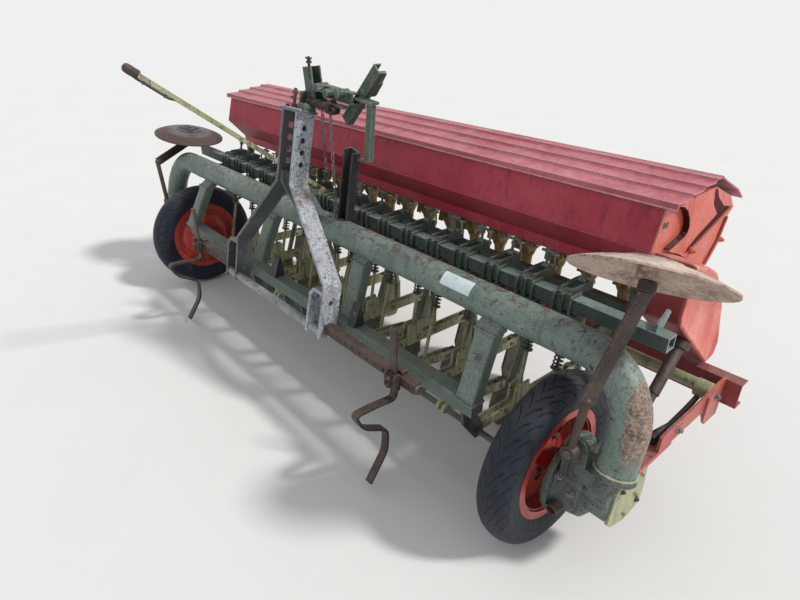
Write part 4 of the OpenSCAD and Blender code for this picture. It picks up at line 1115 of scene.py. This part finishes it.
# axle castings; profiles are (distance outwards, radius), outlines (y, z)
castingSet = {"hub": 0.33, "stub": 0.0199, "lean": math.radians(14.8), "foot": (1.68, -0.0517, 0.4906), "seed": 9,
              "drum": [(1.494, 0.112), (1.494, 0.143), (1.499, 0.149), (1.513, 0.15), (1.52, 0.146), (1.526, 0.126),
                       (1.545, 0.12), (1.575, 0.118), (1.605, 0.112), (1.62, 0.09)],
              "box": [(-0.070, 0.292), (-0.098, 0.385), (-0.124, 0.441), (-0.121, 0.47), (-0.113, 0.486),
                      (-0.07, 0.485), (0.0, 0.474), (0.07, 0.459), (0.122, 0.43), (0.134, 0.405), (0.137, 0.262),
                      (0.12, 0.247), (0.04, 0.236), (-0.055, 0.28)],
              "boxRings": [(1.556, 0.9), (1.562, 0.97), (1.572, 1.0), (1.684, 1.0), (1.692, 0.98), (1.696, 0.94)],
              "lug": {"x": 1.575, "half": 0.04, "low": 0.40, "high": 0.548, "crown": 0.034, "steps": 8},
              "rib": [(-0.099, 0.40), (-0.099, 0.55), (-0.07, 0.47), (-0.04, 0.44)],
              "collar": [(0.0, 0.059), (0.0, 0.07), (0.006, 0.0695), (0.012, 0.0665), (0.016, 0.0635), (0.017, 0.059)],
              "plate": [(-0.072, 0.288), (-0.052, 0.404), (-0.03, 0.424), (0.09, 0.431), (0.137, 0.412), (0.143, 0.3),
                        (0.139, 0.247), (0.04, 0.232), (-0.05, 0.262)],
              "slots": [(0.108, 0.385), (0.09, 0.31), (0.03, 0.262)], "slotR": 0.0085,
              "socket": [(0.0, 0.012), (0.0, 0.0245), (0.078, 0.0235), (0.086, 0.022), (0.086, 0.0165), (0.02, 0.0155)]}


def makeCasting(side, word, look):
    p = Piece("axleCasting" + word)
    x = toRight * side
    p.lathe(spot(0, 0, look["hub"]), x, look["drum"], 56)
    # the box that takes the foot of the bent tube, drawn in a little towards both faces
    outline = [spot(0, y, z) for y, z in look["box"]]
    mid = sum(outline, Vector()) / len(outline)
    p.loft([[mid + (q - mid) * grow + x * out for q in outline] for out, grow in look["boxRings"]])
    # cast lug for the marker's pin, its rib and its collar
    lug = look["lug"]
    half, high, n = lug["half"], lug["high"], lug["steps"]
    crown = [(-half * math.cos(math.pi * k / n), high + lug["crown"] * math.sin(math.pi * k / n)) for k in range(1, n)]
    line = [(-half, lug["low"]), (-half, high)] + crown + [(half, high), (half, lug["low"])]
    p.prism([spot(dx, -0.112, z) + x * lug["x"] for dx, z in line], toBack * 0.014)
    p.slab(side * 1.569, side * 0.012, look["rib"])
    p.rod(spot(side * 1.575, -0.108, 0.545), spot(side * 1.575, -0.164, 0.545), 0.0139, 24, 0.002)
    # axle stub with its inner collar
    outer, shoulder, inner = (spot(side * out, 0, look["hub"]) for out in (1.50, 1.348, 1.334))
    p.rod(outer, shoulder, look["stub"], 28)
    p.rod(shoulder, inner, 0.03, 28, 0.003)
    # collar round the tube's foot
    foot = spot(side * look["foot"][0], *look["foot"][1:])
    up = Vector((0, math.sin(look["lean"]), math.cos(look["lean"])))
    p.lathe(foot - up * 0.016, up, look["collar"], 44, closed=True)
    # ribs on the front face
    for y, z in ((0.0, 0.35), (-0.015, 0.4)):
        p.bar(spot(side * 1.565, y - 0.088, z), spot(side * 1.69, y - 0.084, z), 0.012, 0.01, round=0.004)
    p.finish("castGreen", "frame", ["axle_casting_" + word.lower()], smooth=42)
    plate = Piece("castingPlate" + word)
    plate.slab(side * 1.693, side * 0.011, look["plate"])
    obj = plate.finish("limeGreen", "frame")
    holes = []
    for y, z in look["slots"]:
        for k in range(3):
            q = spot(side * 1.68, y - 0.012 + 0.012 * k, z + 0.013 - 0.013 * k)
            holes.append((q, q + x * 0.05, look["slotR"]))
    cutHoles(obj, holes)
    pipe = Piece("castingSocket" + word)
    a, b = spot(side * 1.545, -0.06, 0.29), spot(side * 1.545, -0.148, 0.276)
    pipe.lathe(a, (b - a).normalized(), look["socket"], 28, closed=True)
    pipe.finish("oldIron", "frame", smooth=40)
    weld = Piece("footWeld" + word)
    weldRing(weld, foot + up * 0.002, up, 0.0635, 0.0044, look["seed"])
    weld.finish("weldPale", "frame", smooth=60)
    places = [(spot(side * 1.704, 0.104, 0.282), x), (spot(side * 1.704, -0.02, 0.4), x),
              (spot(side * 1.63, -0.1165, 0.426), (0, -1, 0.45))]
    bolts("castingBolts" + word, places, "oldIron", "frame", 0.85)


for side, word in ends:
    makeCasting(side, word, castingSet)
print("castings done")

tineSet = {"spans": [(0.398, 0.98), (-0.98, -0.4923)], "holes": 9, "holeFrom": 0.55, "holeStep": 0.05, "holeR": 0.0062,
           "angle": [(-0.235, 0.46), (-0.235, 0.4985), (-0.2335, 0.5), (-0.195, 0.5), (-0.195, 0.4935),
                     (-0.2285, 0.4935), (-0.2285, 0.46)],
           "cheek": [(-0.236, 0.445), (-0.258, 0.438), (-0.267, 0.45), (-0.266, 0.505), (-0.255, 0.515),
                     (-0.236, 0.512)]}


def makeTineBar(look):
    p = Piece("tineAngle")
    for x0, x1 in look["spans"]:
        p.slab(x0, x1 - x0, look["angle"])
    obj = p.finish("oldIron", "frame", ["tine_bar"])
    holes = []
    for k in range(look["holes"]):
        x = look["holeFrom"] + look["holeStep"] * k
        if abs(x - tineX) > 0.04:
            holes += [(spot(s * x, -0.25, 0.479), spot(s * x, -0.22, 0.479), look["holeR"]) for s, word in ends]
    cutHoles(obj, holes)
    # cast cheeks that hold the square shank against the angle
    back = Piece("tineCheeks")
    for s, word in ends:
        for dx in (-0.03, 0.022):
            back.slab(s * tineX + dx, 0.008, look["cheek"])
        back.bar(spot(s * tineX, -0.224, 0.508), spot(s * tineX, -0.19, 0.508), 0.05, 0.014, round=0.003)
    back.finish("oldIron", "frame")


makeTineBar(tineSet)

leverSet = {"root": (0.215, 0.870), "tip": (-0.606, 1.4905), "x": -0.225,
            "shoe": [(0.173, 0.8515), (0.233, 0.8515), (0.233, 0.868), (0.214, 0.878), (0.173, 0.878)],
            "grip": [(0.0, 0.012), (0.0, 0.0175), (0.006, 0.0195), (0.02, 0.0185), (0.036, 0.0192), (0.052, 0.0182),
                     (0.06, 0.014), (0.064, 0.006)]}


def makeLever(look):
    a, b = spot(look["x"], *look["root"]), spot(look["x"], *look["tip"])
    d = (b - a).normalized()
    above = Vector((0, d.z, -d.y))
    p = Piece("liftLever")
    p.channel(a - above * 0.009, b - above * 0.009, 0.038, 0.018, 0.0042, above)
    p.slab(look["x"] - 0.02, 0.04, look["shoe"])   # the root's cast shoe on the pressure bar
    p.finish("limeWorn", "frame", ["lever"])
    grip = Piece("leverGrip")
    grip.lathe(b - d * 0.006, d, look["grip"], 24)
    grip.finish("oldIron", "frame", smooth=60)
    rod = Piece("leverLatchRod")
    beside = toRight * 0.012
    under = beside - above * 0.0165
    rod.tube([b + d * 0.002 + under, b - d * 0.14 + under, b - d * 0.17 - above * 0.006 + beside], 0.0048, 8)
    for t in (0.03, 0.125):
        rod.bar(b - d * t + under * 1.2, b - d * t, 0.014, 0.005, up=d, round=0.001)
    rod.finish("blackPaint", "frame")
    bolts("leverBolts", [(a + d * t + toRight * 0.0195, toRight) for t in (0.05, 0.14)], "oldIron", "frame", 0.9)


makeLever(leverSet)

# changeover on the headstock; its parts are (x, z) unless they say more
linkSet = {"y": 0.034, "slantY": 0.078, "channel": (0.046, 0.034, 0.0055),
           "bosses": [(0.083, 1.42), (0.15, 1.404), (0.231, 1.41)],
           "slantBosses": [(0.24, 1.35), (0.31, 1.42), (0.38, 1.49)],
           "secondPlate": [(0.325, 1.47), (0.375, 1.50), (0.372, 1.452), (0.325, 1.40), (0.305, 1.42)],
           "pad": [(0.02, 1.3285), (0.078, 1.3285), (0.078, 1.345), (0.062, 1.358), (0.02, 1.358)],
           "latchBosses": [(0.09, 0.021, 1.352), (0.15, 0.026, 1.349), (0.172, 0.019, 1.338)],   # x, radius, z
           "coilTurns": 14, "coilSteps": 120, "coilR": 0.014, "coilWire": 0.0034, "screwX": 0.036,
           "screwNut": [(0.0, 0.006), (0.0, 0.0135), (0.009, 0.0135), (0.009, 0.006)]}


def makeChangeover(look):
    y, slantY = look["y"], look["slantY"]
    p = Piece("changeoverFrame")
    # narrow post whose open side shows towards the right
    p.channel(spot(0.006, y, 1.348), spot(-0.012, y, 1.494), 0.05, 0.062, 0.006, toRight)
    p.bar(spot(-0.005, y - 0.033, 1.352), spot(0.012, y - 0.033, 1.40), 0.012, 0.05, up=toFront, round=0.003)
    # cross channel with its bosses
    p.channel(spot(0.05, y + 0.012, 1.405), spot(0.285, y + 0.012, 1.391), *look["channel"], toBack)
    for x, z in look["bosses"]:
        p.pin(spot(x, y + 0.002, z), 0.032, 0.018, 20, 0.003, toBack)
    p.bar(spot(0.06, y, 1.363), spot(0.25, y, 1.358), 0.03, 0.012, round=0.003)
    # slanting channel, with a bent second plate behind it
    p.channel(spot(0.18, slantY, 1.29), spot(0.404, slantY, 1.514), *look["channel"], toBack)
    p.bar(spot(0.289, 0.135, 1.40), spot(0.347, 0.135, 1.478), 0.006, 0.07, up=toBack, round=0.002)
    p.prism([spot(x, 0.1, z) for x, z in look["secondPlate"]], toBack * 0.035)
    for x, z in look["slantBosses"]:
        p.pin(spot(x, 0.106, z), 0.034, 0.011, 16, 0.002, toBack)
    # hanging flat bar with a folded edge
    p.channel(spot(0.372, 0.064, 1.385), spot(0.345, 0.064, 1.155), 0.036, 0.02, 0.005, toBack)
    p.bar(spot(0.285, slantY, 1.394), spot(0.398, 0.07, 1.386), 0.045, 0.012, round=0.003)
    p.bar(spot(0.345, 0.066, 1.158), spot(0.285, 0.076, 1.145), 0.03, 0.01, round=0.002)
    # pad on the headstock's top plate
    p.prism([onHead(x, -0.018, z) for x, z in look["pad"]], onHead(0, 0.036, 0) - onHead(0, -0.018, 0))
    p.finish("linkGreen", "frame", ["changeover"])
    # latch spring, pawl and worn bosses bunched under the cross channel
    coil = Piece("latchSpring")
    a, b = spot(0.035, y - 0.035, 1.362), spot(0.2, y - 0.035, 1.352)
    u, v, d = coil.frameOf(a, b)
    line = []
    for k in range(look["coilSteps"] + 1):
        t = 2 * math.pi * look["coilTurns"] * k / look["coilSteps"]
        line.append(a.lerp(b, k / look["coilSteps"]) + (u * math.cos(t) + v * math.sin(t)) * look["coilR"])
    coil.tube(line, look["coilWire"], 6)
    coil.rod(a - d * 0.03, b + d * 0.02, 0.006, 10)
    for x, r, z in look["latchBosses"]:
        coil.pin(spot(x, y - 0.003, z), 0.023, r, 20, 0.004, toBack)
    coil.finish("oldIron", "frame", smooth=60)
    screw = Piece("stopScrew")
    x, y = look["screwX"], y - 0.022
    screw.rod(spot(x, y, 1.45), spot(x, y, 1.538), 0.006, 12)
    screw.lathe(spot(x, y, 1.512), toTop, look["screwNut"], 6, closed=True)
    for s, word in ends:
        screw.bar(spot(x, y, 1.524), spot(x + s * 0.02, y, 1.533), 0.005, 0.011, up=toFront, round=0.002)
    screw.finish("oldIron", "frame", smooth=40)


makeChangeover(linkSet)
print("lever and changeover done")

# beads along the lid's front edge and steps, in a paler red that paints a highlight on them: y, z, radius
lidSet = {"half": 1.519, "lines": [(0.353, 1.1765, 0.0042), (0.4455, 1.2075, 0.0034), (0.5275, 1.2185, 0.0034),
                                   (0.6095, 1.2275, 0.0034), (0.6535, 1.2265, 0.0042)]}


def makeLidEdges(look):
    p = Piece("lidBeads")
    for y, z, r in look["lines"]:
        p.pin(spot(0, y, z), look["half"], r, 10)
    p.finish("lidEdge", "lid", smooth=60)


makeLidEdges(lidSet)

hopperSet = {"half": 1.477, "endX": 1.474,
             "lip": [(0.424, 0.929), (0.425, 0.884), (0.428, 0.88), (0.498, 0.8455), (0.5, 0.85), (0.433, 0.888),
                     (0.43, 0.925)],
             "lipEnd": [(0.424, 0.929), (0.428, 0.88), (0.498, 0.8455), (0.502, 0.852)],
             "creases": [(0.3225, 1.033, 0.003), (0.3615, 1.167, 0.0028)]}   # y, z, radius


def makeHopperEdges(look):
    # folded lower edge of the hopper's front, in hopperLit as a painted highlight, and seam lines under the lid
    p = Piece("hopperLip")
    p.slab(-look["half"], 2 * look["half"], look["lip"])
    p.finish("hopperLit", "frame")
    caps = Piece("hopperLipEnds")
    for s, word in ends:
        caps.slab(s * look["endX"], s * 0.003, look["lipEnd"])
    caps.finish("hopperRed", "frame")
    seam = Piece("hopperCrease")
    for y, z, r in look["creases"]:
        seam.pin(spot(0, y, z), look["half"], r, 8)
    seam.finish("hopperRed", "frame", smooth=60)


makeHopperEdges(hopperSet)

# gear cover: a closed line of (y, z) corners, and rings of (back from the face, inset)
coverSet = {"line": [(0.4, 1.018), (0.47, 0.99), (0.548, 0.95), (0.68, 0.79), (0.764, 0.59), (0.75, 0.53),
                     (0.68, 0.515), (0.54, 0.635), (0.33, 0.815), (0.318, 0.85), (0.34, 1.036), (0.4, 1.018)],
            "bend": 0.018, "back": 1.4826, "face": 1.62, "round": 0.016, "steps": 6}


def bends(points, r, n):
    # a path whose corners become curves that start r before each corner
    out = []
    for before, p, after in zip(points, points[1:], points[2:]):
        a, b = p - (p - before).normalized() * r, p + (after - p).normalized() * r
        out += [a * (1 - u) ** 2 + p * 2 * u * (1 - u) + b * u * u for u in (k / n for k in range(n + 1))]
    return out


def insetLine(line, h):
    # a closed line moved inwards by h
    out = []
    for i, q in enumerate(line):
        a, b = (q - line[i - 1]).normalized(), (line[(i + 1) % len(line)] - q).normalized()
        across = Vector((a.y, -a.x))
        m = (across + Vector((b.y, -b.x))).normalized()
        out.append(q + m * h / max(0.35, m.dot(across)))
    return out


def makeGearCover(look):
    line = bends([Vector(q) for q in look["line"]], look["bend"], look["steps"])
    back, face, r = look["back"], look["face"], look["round"]
    steps = [(back, 0.0), (back + 0.05, 0.0), (back + 0.053, 0.003), (face - r - 0.004, 0.0039), (face - r, 0.004)]
    for k in range(1, look["steps"] + 1):
        t = math.pi / 2 * k / look["steps"]
        steps.append((face - r + r * math.sin(t), 0.004 + (r - r * math.cos(t)) * 0.7))
    steps += [(face - 0.0002, 0.0165), (face - 0.0008, 0.0175)]
    p = Piece("gearCoverShell")
    p.loft([[spot(x, *q) for q in insetLine(line, h)] for x, h in steps])
    p.finish("coverRed", "frame", ["gear_cover"], smooth=50)


makeGearCover(coverSet)
print("hopper details done")

# floor and light
studio = {"floor": (0.74, 0.74, 0.73), "halfSize": 14.0, "world": 0.66, "worldTone": (0.93, 0.96, 1.0, 1),
          "seen": 1.0, "seenTone": (0.86, 0.87, 0.88, 1), "sun": 2.5, "sunTone": (1.0, 0.965, 0.91),
          "sunFrom": (0.72, 0.42, 0.92), "sunSoft": 7.0}


def makeStudio(look):
    h = look["halfSize"]
    mesh = bpy.data.meshes.new("floor")
    mesh.from_pydata([(-h, -h, 0), (h, -h, 0), (h, h, 0), (-h, h, 0)], [], [(0, 1, 2, 3)])
    floor = addObject("floor", mesh)
    s = Shader("floorPale")
    tone = look["floor"]
    colour = s.mix(s.noise(1.5, 5, 0.6), tone, tuple(c * 0.93 for c in tone))
    mesh.materials.append(s.surface({"Base Color": colour, "Roughness": 0.9}))
    world = bpy.data.worlds.new("studio")
    bpy.context.scene.world = world
    world.use_nodes = True
    world.node_tree.nodes.clear()

    def add(kind, values={}, **settings):
        return addNode(world.node_tree, "ShaderNode" + kind, values, settings).outputs

    # the camera and reflections see a brighter wall than the one that lights the machine
    dim = add("Background", {0: look["worldTone"], 1: look["world"]})[0]
    bright = add("Background", {0: look["seenTone"], 1: look["seen"]})[0]
    rays = add("LightPath")
    either = add("Math", {0: rays["Is Camera Ray"], 1: rays["Is Glossy Ray"]}, operation="MAXIMUM")[0]
    add("OutputWorld", {0: add("MixShader", {0: either, 1: dim, 2: bright})[0]})
    lamp = bpy.data.lights.new("sun", "SUN")
    lamp.energy = look["sun"]
    lamp.angle = math.radians(look["sunSoft"])
    lamp.color = look["sunTone"]
    sun = addObject("sun", lamp)
    sun.rotation_mode = "QUATERNION"
    sun.rotation_quaternion = Vector(look["sunFrom"]).to_track_quat("Z", "Y")


makeStudio(studio)
print("studio made")
